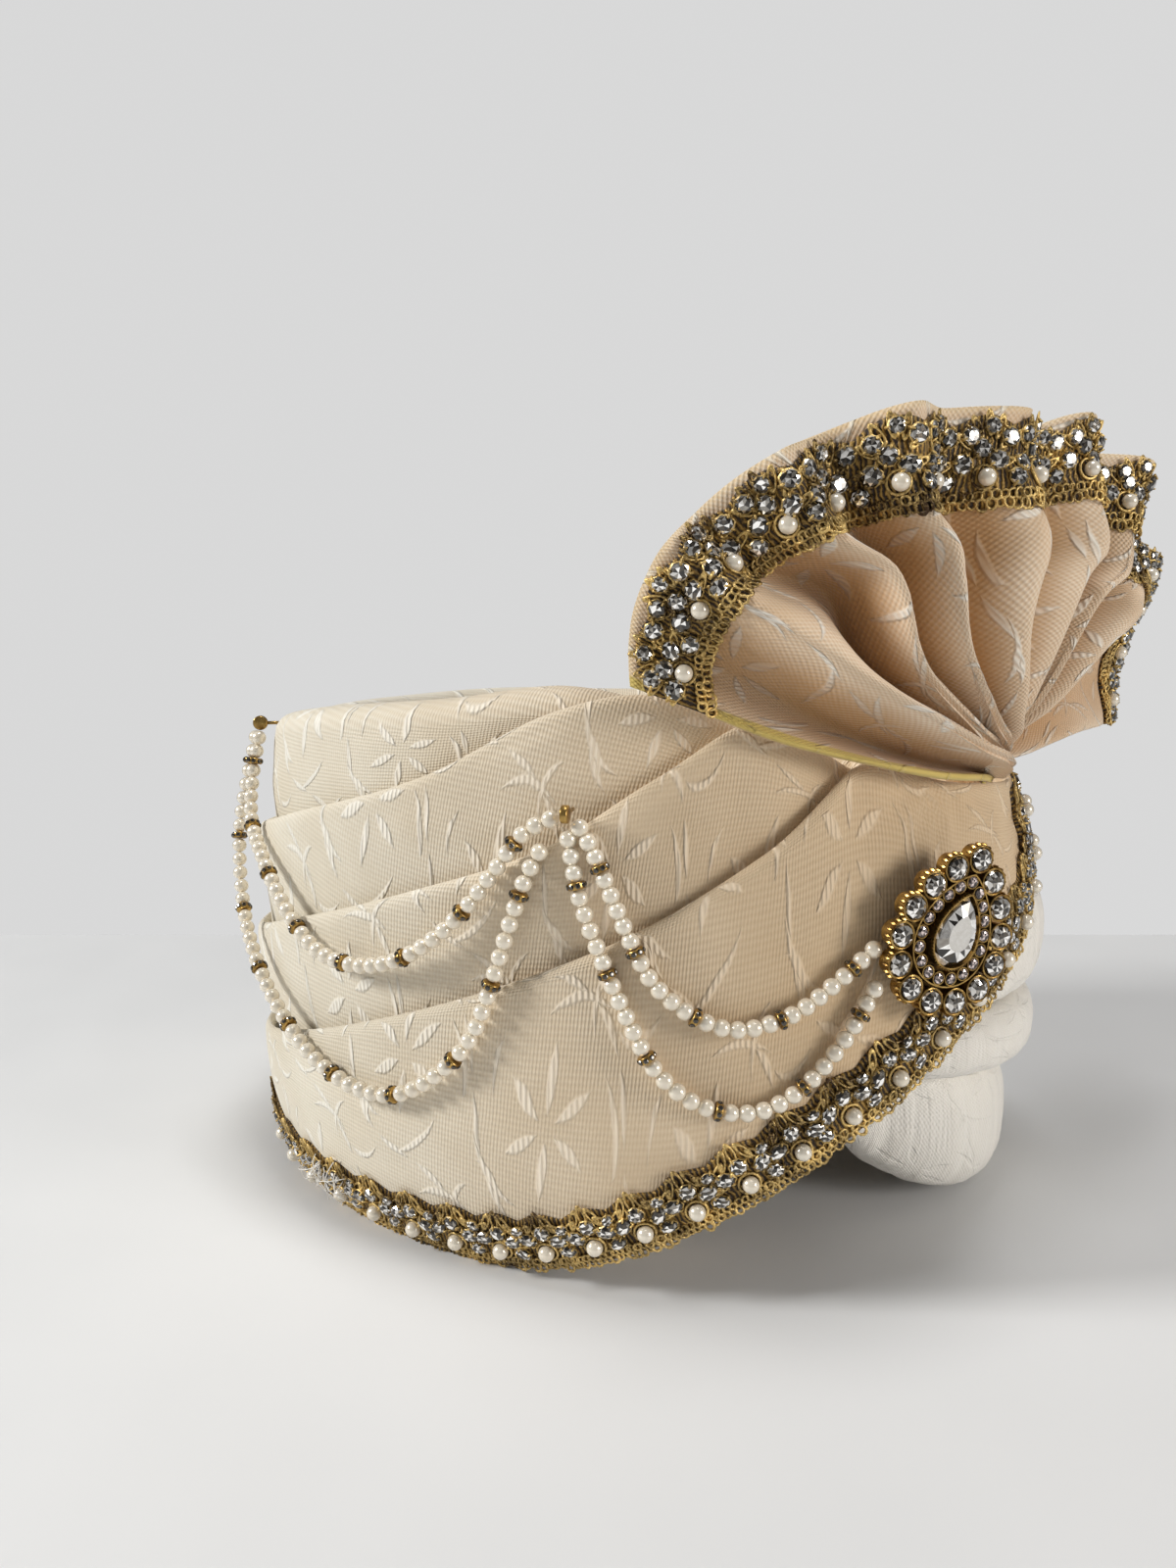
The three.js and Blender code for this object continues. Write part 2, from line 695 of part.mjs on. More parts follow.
function fromManifold(solid) {
  const mesh = solid.getMesh();
  const geometry = new THREE.BufferGeometry();
  geometry.setAttribute("position", new THREE.BufferAttribute(new Float32Array(mesh.vertProperties), 3));
  geometry.setIndex(new THREE.BufferAttribute(new Uint32Array(mesh.triVerts), 1));
  return geometry;
}

// The setting: a plate with a scalloped wall, a pear collet, the ring of small stones and a post
function broochSetting() {
  const stones = pearCurve(OUTER_STONES.halfWidth, OUTER_STONES.halfHeight, OUTER_STONES.count);
  const scallop = (extra) => {
    const centre = new THREE.Vector3();
    const points = [];
    stones.forEach((p, i) => {
      const next = stones[(i + 1) % stones.length];
      const out = p.clone().sub(centre).normalize();
      const step = next.clone().sub(p);
      const side = new THREE.Vector3(step.y, -step.x, 0).normalize();
      if (side.dot(out) < 0) side.negate();
      points.push(p.clone().addScaledVector(out, OUTER_STONES.radius + extra));
      const between = p.clone().addScaledVector(step, 0.5);
      points.push(between.addScaledVector(side, OUTER_STONES.radius * BROOCH.valley + extra));
    });
    return points.map((p) => new THREE.Vector2(p.x, p.y));
  };
  const extrude = (shape, from, depth) => {
    const geometry = new THREE.ExtrudeGeometry(shape, { depth, bevelEnabled: false });
    return toManifold(geometry.translate(0, 0, from));
  };
  const wall = new THREE.Shape(scallop(GAP + BROOCH.wallThick));
  wall.holes.push(new THREE.Path(scallop(GAP).reverse()));
  const pearBand = (grow) => pearCurve(INNER_STONES.halfWidth + grow, INNER_STONES.halfHeight + grow, 16)
    .map((p) => new THREE.Vector2(p.x, p.y));
  const collet = (grow) => pearCurve(CENTRE_STONE.halfWidth + grow, CENTRE_STONE.halfHeight + grow, 16)
    .map((p) => new THREE.Vector2(p.x, p.y));
  const colletWall = new THREE.Shape(collet(GAP + BROOCH.wallThick));
  colletWall.holes.push(new THREE.Path(collet(GAP).reverse()));
  const post = new THREE.CylinderGeometry(BROOCH_POST.radius, BROOCH_POST.radius, BROOCH_POST.length, 8)
    .rotateX(Math.PI / 2)
    .translate(BROOCH_POST.x, 0, 0.1 - BROOCH_POST.length / 2);
  const bed = new THREE.Shape(pearBand(INNER_STONES.radius));
  bed.holes.push(new THREE.Path(pearBand(-INNER_STONES.radius).reverse()));
  const sunk = BROOCH.plate - 0.3;
  const wallHeight = BROOCH.wall - sunk;
  let body = extrude(new THREE.Shape(scallop(GAP + BROOCH.wallThick)), 0, BROOCH.plate)
    .add(extrude(wall, sunk, wallHeight))
    .add(extrude(colletWall, sunk, wallHeight + 0.3))
    .add(extrude(bed, sunk, wallHeight - INNER_STONES.high + 0.2))
    .add(toManifold(post));
  const small = roundPoints(INNER_STONES.radius, INNER_STONES.sides);
  for (const p of pearCurve(INNER_STONES.halfWidth, INNER_STONES.halfHeight, INNER_STONES.count)) {
    const stone = cutStone(small, INNER_STONES.high).translate(p.x, p.y, BROOCH.wall - INNER_STONES.high);
    body = body.add(toManifold(stone));
  }
  return fromManifold(body);
}

function metal(color, roughness = 0.35) {
  return new THREE.MeshStandardMaterial({ color, roughness, metalness: 1 });
}

function cloth(color, roughness = 0.8) {
  return new THREE.MeshStandardMaterial({ color, roughness, metalness: 0 });
}

function addMesh(parent, name, geometry, material) {
  const mesh = new THREE.Mesh(geometry, material);
  mesh.name = name;
  parent.add(mesh);
  return mesh;
}

function addWraps(parent) {
  addMesh(parent, "wrap_1_rim", ringSolid(turnsRound(true), true, rimSection), cloth(COLOURS.brocade));
  for (let k = 1; k < WRAPS.length; k += 1) {
    const section = (turn) => foldedSection(k, turn);
    const geometry = ringSolid(turnsRound(false), false, section);
    addMesh(parent, `wrap_${k + 1}`, geometry, cloth(COLOURS.brocade));
  }
}

function addBrooch(parent) {
  const group = new THREE.Group();
  const at = place(BROOCH.turn, surfaceRadius(BROOCH.turn, BROOCH.z) + BROOCH.stand, BROOCH.z);
  group.position.copy(at);
  group.rotation.order = "ZXY";
  group.rotation.set(Math.PI / 2, 0, radians(-BROOCH.facing));
  const leaning = new THREE.Group();
  leaning.rotation.z = -radians(BROOCH.lean);
  group.add(leaning);
  addMesh(leaning, "brooch_setting", broochSetting(), metal(COLOURS.gold, 0.3));
  const stones = pearCurve(OUTER_STONES.halfWidth, OUTER_STONES.halfHeight, OUTER_STONES.count);
  stones.forEach((p, i) => {
    const geometry = cutStone(roundPoints(OUTER_STONES.radius, OUTER_STONES.sides), OUTER_STONES.high);
    const mesh = addMesh(leaning, `brooch_stone_${i + 1}`, geometry, metal(COLOURS.crystal, 0.05));
    mesh.position.set(p.x, p.y, BROOCH.plate + GAP);
  });
  const pear = pearCurve(CENTRE_STONE.halfWidth, CENTRE_STONE.halfHeight, CENTRE_STONE.sides);
  const pearStone = cutStone(pear, CENTRE_STONE.high).translate(0, 0, BROOCH.plate + GAP);
  addMesh(leaning, "brooch_centre_stone", pearStone, metal(COLOURS.crystal, 0.05));
  parent.add(group);
}

function addStrands(parent) {
  for (const { name, rows } of STRANDS) {
    addMesh(parent, name, strandTube(rows), cloth(COLOURS.pearl, 0.25));
  }
  for (const { name, turn, z, stand } of PINS) {
    const geometry = new THREE.CylinderGeometry(PIN.radius, PIN.radius, PIN.length, 12);
    const pin = addMesh(parent, name, geometry, metal(COLOURS.gold));
    const radius = surfaceRadius(turn, z) + 1 + stand + PIN.length / 2;
    pin.position.copy(place(turn, radius, z));
    pin.rotation.z = -radians(turn);
  }
}

const turban = new THREE.Group();
addMesh(turban, "head_cap", headCap(), cloth(COLOURS.lining));
addMesh(turban, "wound_core", ringSolid(turnsRound(true), true, coreSection), cloth(COLOURS.brocade));
addWraps(turban);
for (const roll of ROLLS) addMesh(turban, roll.name, rollSolid(roll), cloth(COLOURS.rolls, 0.6));
addMesh(turban, "edge_trim_right", trimSolid(1), metal(COLOURS.lace, 0.6));
addMesh(turban, "edge_trim_left", trimSolid(-1), metal(COLOURS.lace, 0.6));
addMesh(turban, "fan", pleatedFan(), cloth(COLOURS.fanCloth));
addMesh(turban, "fan_trim", fanTrim(), metal(COLOURS.lace, 0.6));
addBrooch(turban);
addStrands(turban);

export default turban;
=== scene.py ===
import math
from bisect import bisect_left
from functools import lru_cache
from random import Random

import bmesh
import bpy
from mathutils import Matrix, Vector, noise


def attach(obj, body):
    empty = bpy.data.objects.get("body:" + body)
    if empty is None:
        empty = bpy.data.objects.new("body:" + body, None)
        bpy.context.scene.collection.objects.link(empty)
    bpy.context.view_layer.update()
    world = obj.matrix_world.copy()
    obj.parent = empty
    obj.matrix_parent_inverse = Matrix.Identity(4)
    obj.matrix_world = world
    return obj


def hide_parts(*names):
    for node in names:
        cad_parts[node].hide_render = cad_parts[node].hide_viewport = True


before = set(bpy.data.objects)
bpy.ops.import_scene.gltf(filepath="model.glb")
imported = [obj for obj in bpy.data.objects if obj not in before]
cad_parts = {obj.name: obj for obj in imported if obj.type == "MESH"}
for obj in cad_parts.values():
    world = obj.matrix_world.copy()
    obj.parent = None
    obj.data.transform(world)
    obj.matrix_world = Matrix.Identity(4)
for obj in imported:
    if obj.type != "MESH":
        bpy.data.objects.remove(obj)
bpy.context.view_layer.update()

# The camera stands at the turban's right side, a little above its rim, and looks slightly down,
# as for the photograph.
CAMERA_PLACE = (-0.42768, -0.09633, 0.204)
CAMERA_PITCH = 9.25
CAMERA_HEADING = -72.45
CAMERA_LENS = 28.09

camera = bpy.data.objects.new("camera", bpy.data.cameras.new("camera"))
camera.data.lens = CAMERA_LENS
camera.location = CAMERA_PLACE
camera.rotation_euler = (
    math.radians(90 - CAMERA_PITCH),
    0,
    math.radians(CAMERA_HEADING),
)
bpy.context.scene.collection.objects.link(camera)
bpy.context.scene.camera = camera

# Plain pale cloth on a table, with its far edge a little behind the turban, and soft studio
# light: a lamp high on the left, past the turban's back, a fill before its front on the right,
# and one from above.
FLOOR_BEHIND, FLOOR_BEFORE, FLOOR_ASIDE = 0.262, 0.9, 0.75
ROOM_LIGHT, ROOM_WALL = (0.20, 0.197, 0.193), (0.69, 0.69, 0.69)


class Shade:
    """A socket of a finish that can be used in a Python expression."""

    def __init__(self, tree, socket=None):
        self.tree = tree
        self.socket = socket

    def node(self, kind, settings=None, values=None, out=0):
        made = self.tree.nodes.new("ShaderNode" + kind)
        for name, value in (settings or {}).items():
            if name == "stops":
                stops = made.color_ramp.elements
                stops.remove(stops[1])
                stops[0].position, stops[0].color = value[0][0], (*value[0][1], 1)
                for place, colour in value[1:]:
                    stops.new(place).color = (*colour, 1)
            else:
                setattr(made, name, value)
        for key, value in (values or {}).items():
            if isinstance(value, Shade):
                self.tree.links.new(value.socket, made.inputs[key])
            else:
                made.inputs[key].default_value = value
        return Shade(self.tree, made.outputs[out])

    def also(self, out):
        return Shade(self.tree, self.socket.node.outputs[out])

    def maths(self, operation, *others):
        values = dict(enumerate((self, *others)))
        return self.node("Math", {"operation": operation}, values)

    def step(self, low, high):
        return self.node(
            "MapRange", {"interpolation_type": "SMOOTHSTEP"}, {0: self, 1: low, 2: high}
        )

    def between(self, first, last):
        colours = [c if isinstance(c, Shade) else (*c, 1) for c in (first, last)]
        return self.node(
            "Mix", {"data_type": "RGBA"}, {0: self, 6: colours[0], 7: colours[1]}, 2
        )

    def __add__(self, other):
        return self.maths("ADD", other)

    def __sub__(self, other):
        return self.maths("SUBTRACT", other)

    def __rsub__(self, other):
        return self.node("Math", {"operation": "SUBTRACT"}, {0: other, 1: self})

    def __mul__(self, other):
        return self.maths("MULTIPLY", other)

    def __truediv__(self, other):
        return self.maths("DIVIDE", other)

    def __abs__(self):
        return self.maths("ABSOLUTE")

    __radd__ = __add__
    __rmul__ = __mul__


def new_finish(name, constants):
    """A new finish with the constant sockets of its surface set, and its starting shade."""
    finish = bpy.data.materials.new(name)
    finish.use_nodes = True
    surface = finish.node_tree.nodes["Principled BSDF"]
    for socket, value in constants.items():
        surface.inputs[socket].default_value = value
    return finish, Shade(finish.node_tree)


def feed(finish, sockets):
    """Links what changes over a finish to the sockets of its surface."""
    surface = finish.node_tree.nodes["Principled BSDF"]
    for socket, shade in sockets.items():
        finish.node_tree.links.new(shade.socket, surface.inputs[socket])


def cloudy(start, scale, detail):
    """Noise from 0 to 1 at the place on the piece."""
    spot = start.node("TexCoord", out=3)
    return start.node("TexNoise", values={0: spot, "Scale": scale, "Detail": detail})


def bumped(height, distance, strength=1.0):
    """The normal of a relief whose height is from 0 to 1 of a distance in metres."""
    return height.node(
        "Bump", values={"Strength": strength, "Distance": distance, "Height": height}
    )


def keep(name, work, finish, smooth=True):
    """Makes an object of the work in hand and frees it."""
    mesh = bpy.data.meshes.new(name)
    work.to_mesh(mesh)
    work.free()
    mesh.materials.append(finish)
    mesh.polygons.foreach_set("use_smooth", [smooth] * len(mesh.polygons))
    piece = bpy.data.objects.new(name, mesh)
    bpy.context.scene.collection.objects.link(piece)
    return piece


table_cloth, start = new_finish("table_cloth", {"Roughness": 0.9})
rumple = cloudy(start, 7.0, 2.0)
feed(
    table_cloth,
    {
        "Base Color": rumple.between((0.66, 0.67, 0.68), (0.76, 0.765, 0.77)),
        "Normal": bumped(rumple, 0.006, 0.6),
    },
)
floor_work = bmesh.new()
bmesh.ops.create_grid(floor_work, x_segments=1, y_segments=1, size=1)
for vert in floor_work.verts:
    ahead = FLOOR_BEHIND if vert.co.y > 0 else -FLOOR_BEFORE
    vert.co = Vector((vert.co.x * FLOOR_ASIDE, ahead, 0))
bmesh.ops.rotate(
    floor_work,
    verts=floor_work.verts,
    matrix=Matrix.Rotation(math.radians(CAMERA_HEADING), 3, "Z"),
)
keep("floor", floor_work, table_cloth)

world = bpy.data.worlds.new("studio")
world.use_nodes = True
room = Shade(world.node_tree)
seen = room.node("LightPath")
room_light = room.node("Background", values={0: seen.between(ROOM_LIGHT, ROOM_WALL)})
world.node_tree.links.new(
    room_light.socket, world.node_tree.nodes["World Output"].inputs["Surface"]
)
bpy.context.scene.world = world
bpy.context.scene.view_settings.view_transform = "Standard"

# name, place, width in metres, watts, colour
LAMPS = (
    ("key", (-0.85, 1.75, 1.05), 0.45, 36.0, (1.0, 0.99, 0.97)),
    ("fill", (-0.45, -1.90, 0.60), 0.7, 19.0, (1.0, 0.96, 0.91)),
    ("top", (-0.10, -0.10, 2.20), 0.6, 16.0, (1.0, 1.0, 1.0)),
)
for name, place, width, watts, colour in LAMPS:
    lamp = bpy.data.objects.new(name, bpy.data.lights.new(name, "AREA"))
    lamp.data.size = width
    lamp.data.energy = watts
    lamp.data.color = colour
    lamp.location = place
    aim = Vector((0, 0, 0.12)) - lamp.location
    lamp.rotation_euler = aim.to_track_quat("-Z", "Y").to_euler()
    bpy.context.scene.collection.objects.link(lamp)

# Four lapped outer wraps of cream brocade wound round the turban, each folded double at its top
# and tucked under the next lower one. The first goes over the rim and down inside it.
# Sizes here are in millimetres, and a turn is in degrees: 0 in front, 90 at the right.
AXIS = (2.92, 15.17)
HALF_WIDTH, HALF_FRONT, HALF_BACK = 121.0, 134.0, 148.0
LEFT_DROP = 0.085
# share of the height, and how far the surface stands out from the plan outline
SIDE_PROFILE = (
    (0.0, -9.5),
    (0.06, -5.5),
    (0.14, -1.8),
    (0.26, 0.5),
    (0.46, 1.0),
    (0.68, -0.6),
    (0.86, -4.5),
    (1.0, -10.0),
)
# turn, and the heights of the rim, the folds of wraps 2, 3 and 4, and the hem
FOLD_LINES = (
    (0, 123, 127, 130, 140, 116),
    (15, 124, 128, 132, 143, 95),
    (30, 128, 132, 137, 147, 78),
    (45, 143, 148, 152, 154, 57),
    (60, 157, 162, 167, 132, 35),
    (75, 170, 174, 152, 112.5, 16),
    (90, 175.5, 169, 132, 97, 5.5),
    (110, 171, 149, 116, 79.5, 1.8),
    (135, 166, 133, 98, 60, 1.5),
    (160, 159, 119, 82, 44, 1.5),
    (180, 156, 114, 78, 40, 1.5),
)
FOLD, WRAP_STEP, BILLOW, WRAP_CLOTH = 4.0, 5.2, 0.17, 1.1
# share of a wrap's section where its top fold starts, and where its turned edge starts
FOLD_START, EDGE_START = 0.68, 0.9
FRONT_SLIT = 0.6
LIP_WIDTH, LIP_DEPTH = 18.0, 23.0
GATHER = (30.0, 151.0)
# wrap, how many stations round and across, the cloth's slant in degrees and shift in mm, and
# its cut in metres
WRAPS = (
    ("wrap_1_rim", 260, 44, 38.0, (8.0, 12.0), (0.84, 0.056)),
    ("wrap_2", 260, 44, 24.0, (22.0, 4.0), (0.86, 0.045)),
    ("wrap_3", 260, 44, 30.0, (40.0, 30.0), (0.86, 0.050)),
    ("wrap_4", 300, 60, 34.0, (17.0, 20.0), (0.88, 0.078)),
)


def table_curve(rows, column):
    """A smooth curve through one column of a table, by its first column."""
    keys = [row[0] for row in rows]
    values = [row[column] for row in rows]
    last = len(rows) - 1

    def slope(i):
        a, b = max(i - 1, 0), min(i + 1, last)
        return (values[b] - values[a]) / (keys[b] - keys[a])

    def at(key):
        i = 0
        while i < last - 1 and keys[i + 1] < key:
            i += 1
        span = keys[i + 1] - keys[i]
        t = min(1.0, max(0.0, (key - keys[i]) / span))
        return (
            (2 * t**3 - 3 * t**2 + 1) * values[i]
            + (t**3 - 2 * t**2 + t) * span * slope(i)
            + (3 * t**2 - 2 * t**3) * values[i + 1]
            + (t**3 - t**2) * span * slope(i + 1)
        )

    return at


profile_at = table_curve(SIDE_PROFILE, 1)
line_curves = [table_curve(FOLD_LINES, column) for column in range(1, 6)]
HEM = 4


def outline(turn, half_width=HALF_WIDTH, half_front=HALF_FRONT, half_back=HALF_BACK):
    cos, sin = math.cos(math.radians(turn)), math.sin(math.radians(turn))
    return 1 / math.hypot(cos / (half_front if cos > 0 else half_back), sin / half_width)


@lru_cache(maxsize=None)
def line_height(line, turn):
    side = math.sin(math.radians(turn))
    drop = 1 - LEFT_DROP * side * side if side < 0 else 1
    return line_curves[line](abs(turn)) * drop


@lru_cache(maxsize=None)
def top_height(turn):
    return max(line_height(line, turn) for line in range(4))


def surface_radius(turn, z):
    return outline(turn) + profile_at(min(1.0, max(0.0, z / top_height(turn))))


def place(turn, radius, z):
    a = math.radians(turn)
    return Vector(
        (AXIS[0] - radius * math.sin(a), AXIS[1] - radius * math.cos(a), z)
    ) * 0.001


def wrap_offset(layer, turn, z):
    if layer == 3:
        return 0.0
    fold = line_height(layer + 1, turn)
    under = wrap_offset(layer + 1, turn, min(z, fold)) - WRAP_STEP
    return min(0.4, under + BILLOW * max(0.0, z - fold))


def creases(layer, turn, z):
    """Soft unevenness of the wound cloth, and the creases that run to the gather in front."""
    along = math.radians(turn) * HALF_WIDTH
    soft = 0.9 * noise.noise(Vector((along / 46, z / 24, 3.1 * layer)))
    fine = 0.35 * noise.noise(Vector((along / 17, z / 9, 7.7 + layer)))
    away = (abs(turn) - GATHER[0]) * 2.1, z - GATHER[1]
    far = math.hypot(*away)
    ray = math.atan2(away[1], away[0])
    near = math.exp(-far / 26) * min(1.0, far / 7)
    return soft + fine + 1.5 * near * math.sin(11 * ray + 2.4 * math.sin(3 * ray + layer))


def wrap_section(layer, turn, share):
    """(radius, height) of a wrap at a share of the way from its foot over its top fold."""
    top = line_height(layer, turn)
    lap = 5 + 8 * min(1.0, max(0.0, (abs(turn) - 25) / 20))
    if layer == 3:
        foot = line_height(HEM, turn)
    else:
        foot = min(line_height(layer + 1, turn), top - 6) - lap
    shoulder = 8.0 if layer == 0 else 4.0
    if share < FOLD_START:
        z = foot + (top - shoulder - foot) * share / FOLD_START
        radius = surface_radius(turn, z) + wrap_offset(layer, turn, z)
        edge = min(1.0, (z - foot) / 12) if layer == 3 else 1.0
        return radius + creases(layer, turn, z) * edge, z
    z = top - shoulder
    radius = surface_radius(turn, z) + wrap_offset(layer, turn, z) + creases(layer, turn, z)
    depth, width = (LIP_DEPTH, LIP_WIDTH) if layer == 0 else (11.0, FOLD - 0.6)
    if share < EDGE_START:
        a = math.pi * (share - FOLD_START) / (EDGE_START - FOLD_START)
        return radius - width / 2 * (1 - math.cos(a)), z + shoulder * math.sin(a) ** 0.9
    return radius - width, z - (depth - shoulder) * (share - EDGE_START) / (1 - EDGE_START)


def grid_piece(name, across, along, point, finish, inside, flat=None, loop=False, marks=None):
    """A sheet whose grid corners are set by point(a, b), in metres, with its faces turned from
    the place inside. flat(a, b) gives each corner's place on the cloth before it was worked, and
    marks name values of (a, b) that the finish reads."""
    work = bmesh.new()
    bmesh.ops.create_grid(work, x_segments=across, y_segments=along, size=0.5)
    cloth = work.loops.layers.uv.new("cloth")
    for face in work.faces:
        for corner in face.loops:
            a, b = corner.vert.co.x + 0.5, corner.vert.co.y + 0.5
            corner[cloth].uv = flat(a, b) if flat else (a, b)
    marks = marks or {}
    for mark in marks:
        work.verts.layers.float.new(mark)
    for vert in work.verts:
        a, b = vert.co.x + 0.5, vert.co.y + 0.5
        for mark, value in marks.items():
            vert[work.verts.layers.float[mark]] = value(a, b)
        vert.co = point(a, b)
    if loop:
        bmesh.ops.remove_doubles(work, verts=work.verts, dist=1e-6)
    work.normal_update()
    outward = sum(
        face.normal.dot(face.calc_center_median() - inside) * face.calc_area()
        for face in work.faces
    )
    if outward < 0:
        bmesh.ops.reverse_faces(work, faces=work.faces)
    return keep(name, work, finish)


def thicken(piece, thick):
    """Gives a sheet its wall, on the inner side."""
    wall = piece.modifiers.new("wall", "SOLIDIFY")
    wall.thickness = thick
    wall.offset = -1
    return piece


def woven(shade, pitch):
    """The grains of a plain weave, from 0 to 1, and the flat place on the cloth in mm."""
    spot = shade.node("UVMap", {"uv_map": "cloth"})
    apart = shade.node("SeparateXYZ", values={0: spot})
    x, y = apart * 1000, apart.also(1) * 1000
    grains = (x * (math.pi / pitch)).maths("SINE") * (y * (math.pi / pitch)).maths("SINE")
    return grains * 0.5 + 0.5, x, y


LEAF_PITCH, LEAF_ROW = 62.0, 44.0


def leaf_mask(x, y):
    """The raised satin-stitch leaves of the brocade, from 0 to 1: a flower of six leaves on a
    staggered repeat, and bowed stems that frame it."""
    pitch, row = LEAF_PITCH, LEAF_ROW
    odd = ((y / row).maths("FLOOR") * 0.5).maths("FRACT")
    fx = ((x / pitch + odd).maths("FRACT") - 0.5) * pitch
    fy = ((y / row).maths("FRACT") - 0.5) * row
    far = (fx * fx + fy * fy).maths("SQRT")
    turn = fy.maths("ARCTAN2", fx) / (2 * math.pi)
    folded = abs((turn * 6 + 0.2).maths("FRACT") - 0.5) * (math.pi / 3)
    aside = far * folded.maths("SINE")
    reach = ((far * folded.maths("COSINE") - 2.5) / 13.0).maths("MAXIMUM", 0).maths("MINIMUM", 1)
    leaves = ((reach * math.pi).maths("SINE") * 1.9 - aside).step(0.0, 0.9)

    def stems(far, turn, count, radius, slope, wide, shift):
        beat = (turn * count + shift).maths("FRACT")
        line = abs(far - (radius + slope * (beat - 0.5)))
        half = ((beat * math.pi).maths("SINE") - 0.32) * wide
        return (half - line).step(0.0, 0.8)

    framing = stems(far, turn, 5.0, 22.5, 9.0, 1.9, 0.37)
    gx = ((x / pitch + odd + 0.5).maths("FRACT") - 0.5) * pitch
    near = (gx * gx + fy * fy).maths("SQRT")
    bend = fy.maths("ARCTAN2", gx) / (2 * math.pi)
    inner = stems(near, bend, 3.0, 9.5, -7.0, 1.8, 0.1)
    column = x / (pitch / 2)
    sway = (column.maths("FLOOR") * 0.5).maths("FRACT") * 4 - 1
    bow = ((y / row - 0.5) * math.pi).maths("COSINE") * 8.0
    line = abs((column.maths("FRACT") - 0.5) * (pitch / 2) - sway * bow)
    beat = ((y / (row / 3)).maths("FRACT") * math.pi).maths("SINE")
    lattice = ((beat - 0.1) * 1.4 - line).step(0.0, 0.8)
    arcs = framing.maths("MAXIMUM", lattice)
    return leaves.maths("MAXIMUM", arcs).maths("MAXIMUM", inner)


def brocade(name, ground, deep, leaf, pitch=0.85, relief=1.0, tint=None):
    finish, start = new_finish(
        name, {"Sheen Weight": 0.25, "Sheen Roughness": 0.5, "Specular IOR Level": 0.35}
    )
    grains, x, y = woven(start, pitch)
    wander = cloudy(start, 28.0, 2.0)
    x, y = x + wander * 7, y - wander * 5
    leaves = leaf_mask(x, y)
    stitches = ((x * 0.9 + y * 0.55) * (2 * math.pi / 1.9)).maths("SINE") * 0.5 + 0.5
    body = (wander * 1.2).between(deep, ground)
    threads = (grains * 0.7 + 0.3).between(deep, body)
    colour = (leaves * (stitches * 0.4 + 0.55)).between(threads, leaf)
    feed(
        finish,
        {
            "Base Color": tint(start, colour) if tint else colour,
            "Roughness": 0.68 - leaves * 0.16,
            "Normal": bumped(
                grains * (1 - leaves) * 0.3 + leaves * (0.6 + stitches * 0.4),
                0.0008 * relief,
                0.9,
            ),
        },
    )
    return finish


# Painted shade: the front of the turban's cloth is multiplied by this colour, so it is darker and
# warmer.
PAINTED_FRONT_SHADE = (0.94, 0.76, 0.58, 1)


def painted_side_light(start, colour):
    """Painted light: the cloth is painted a little whiter at the back of the turban, where the key lamp
    falls, and darker and warmer towards its front as painted shade.
    """
    spot = start.node("TexCoord", out=3)
    back = spot.node("SeparateXYZ", values={0: spot}).also(1).step(-0.10, 0.13)
    front_shaded = colour.node(
        "Mix", {"data_type": "RGBA", "blend_type": "MULTIPLY"}, {0: 1.0, 6: colour, 7: PAINTED_FRONT_SHADE}, 2
    )
    return back.between(front_shaded, colour)


wrap_cloth = brocade(
    "brocade", (0.87, 0.845, 0.745), (0.66, 0.575, 0.43), (0.955, 0.93, 0.84), tint=painted_side_light
)


def wrap_piece(layer):
    name, across, along, slant, shift, cut = WRAPS[layer]
    loop = layer == 0
    first, span = (-180.0, 360.0) if loop else (FRONT_SLIT, 360 - 2 * FRONT_SLIT)

    def turn_at(a):
        turn = round(first + span * a, 4)
        return turn - 360 if turn > 180 else turn

    lengths = [0.0]
    for i in range(across):
        ends = [turn_at(j / across) for j in (i, i + 1)]
        points = [place(t, outline(t), line_height(layer, t)) for t in ends]
        lengths.append(lengths[-1] + (points[1] - points[0]).length)
    cos, sin = math.cos(math.radians(slant)), math.sin(math.radians(slant))

    def flat(a, b):
        s = lengths[round(a * across)] * 1000
        t = (b - (FOLD_START + EDGE_START) / 2) * 1000 * cut[1]
        return (
            (s * cos - t * sin + shift[0]) * 0.001,
            (s * sin + t * cos + shift[1]) * 0.001,
        )

    def point(a, b):
        turn = turn_at(a)
        return place(turn, *wrap_section(layer, turn, b))

    piece = grid_piece(
        name + "_cloth", across, along, point, wrap_cloth, Vector((0, 0, 0.08)), flat, loop
    )
    thicken(piece, WRAP_CLOTH * 0.001)
    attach(piece, "root")
    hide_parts(name)
    return piece


for layer in range(4):
    wrap_piece(layer)

# The wound cloth under the wraps, a thick ring that stays open for the head, and the plain
# cotton cap inside it that sits on the head.
CORE_INSET, CORE_FRONT, CORE_DEPTH, CORE_CLEAR, CORE_MOUTH = 12.0, 22.0, 25.0, 3.9, 117.0
CAP_WIDTH, CAP_LENGTH, CAP_BACK, CAP_SPRING, CAP_TOP = 78.0, 97.0, 8.0, 78.0, 131.0
CAP_CLOTH = 2.4


def cap_radius(turn, z, extra):
    share = min(1.0, max(0.0, (z - CAP_SPRING) / (CAP_TOP + extra - CAP_SPRING)))
    shrink = math.sqrt(max(0.0, 1 - share * share))
    fit = outline(turn, CAP_WIDTH, CAP_LENGTH - CAP_BACK, CAP_LENGTH + CAP_BACK)
    return (fit + extra) * shrink


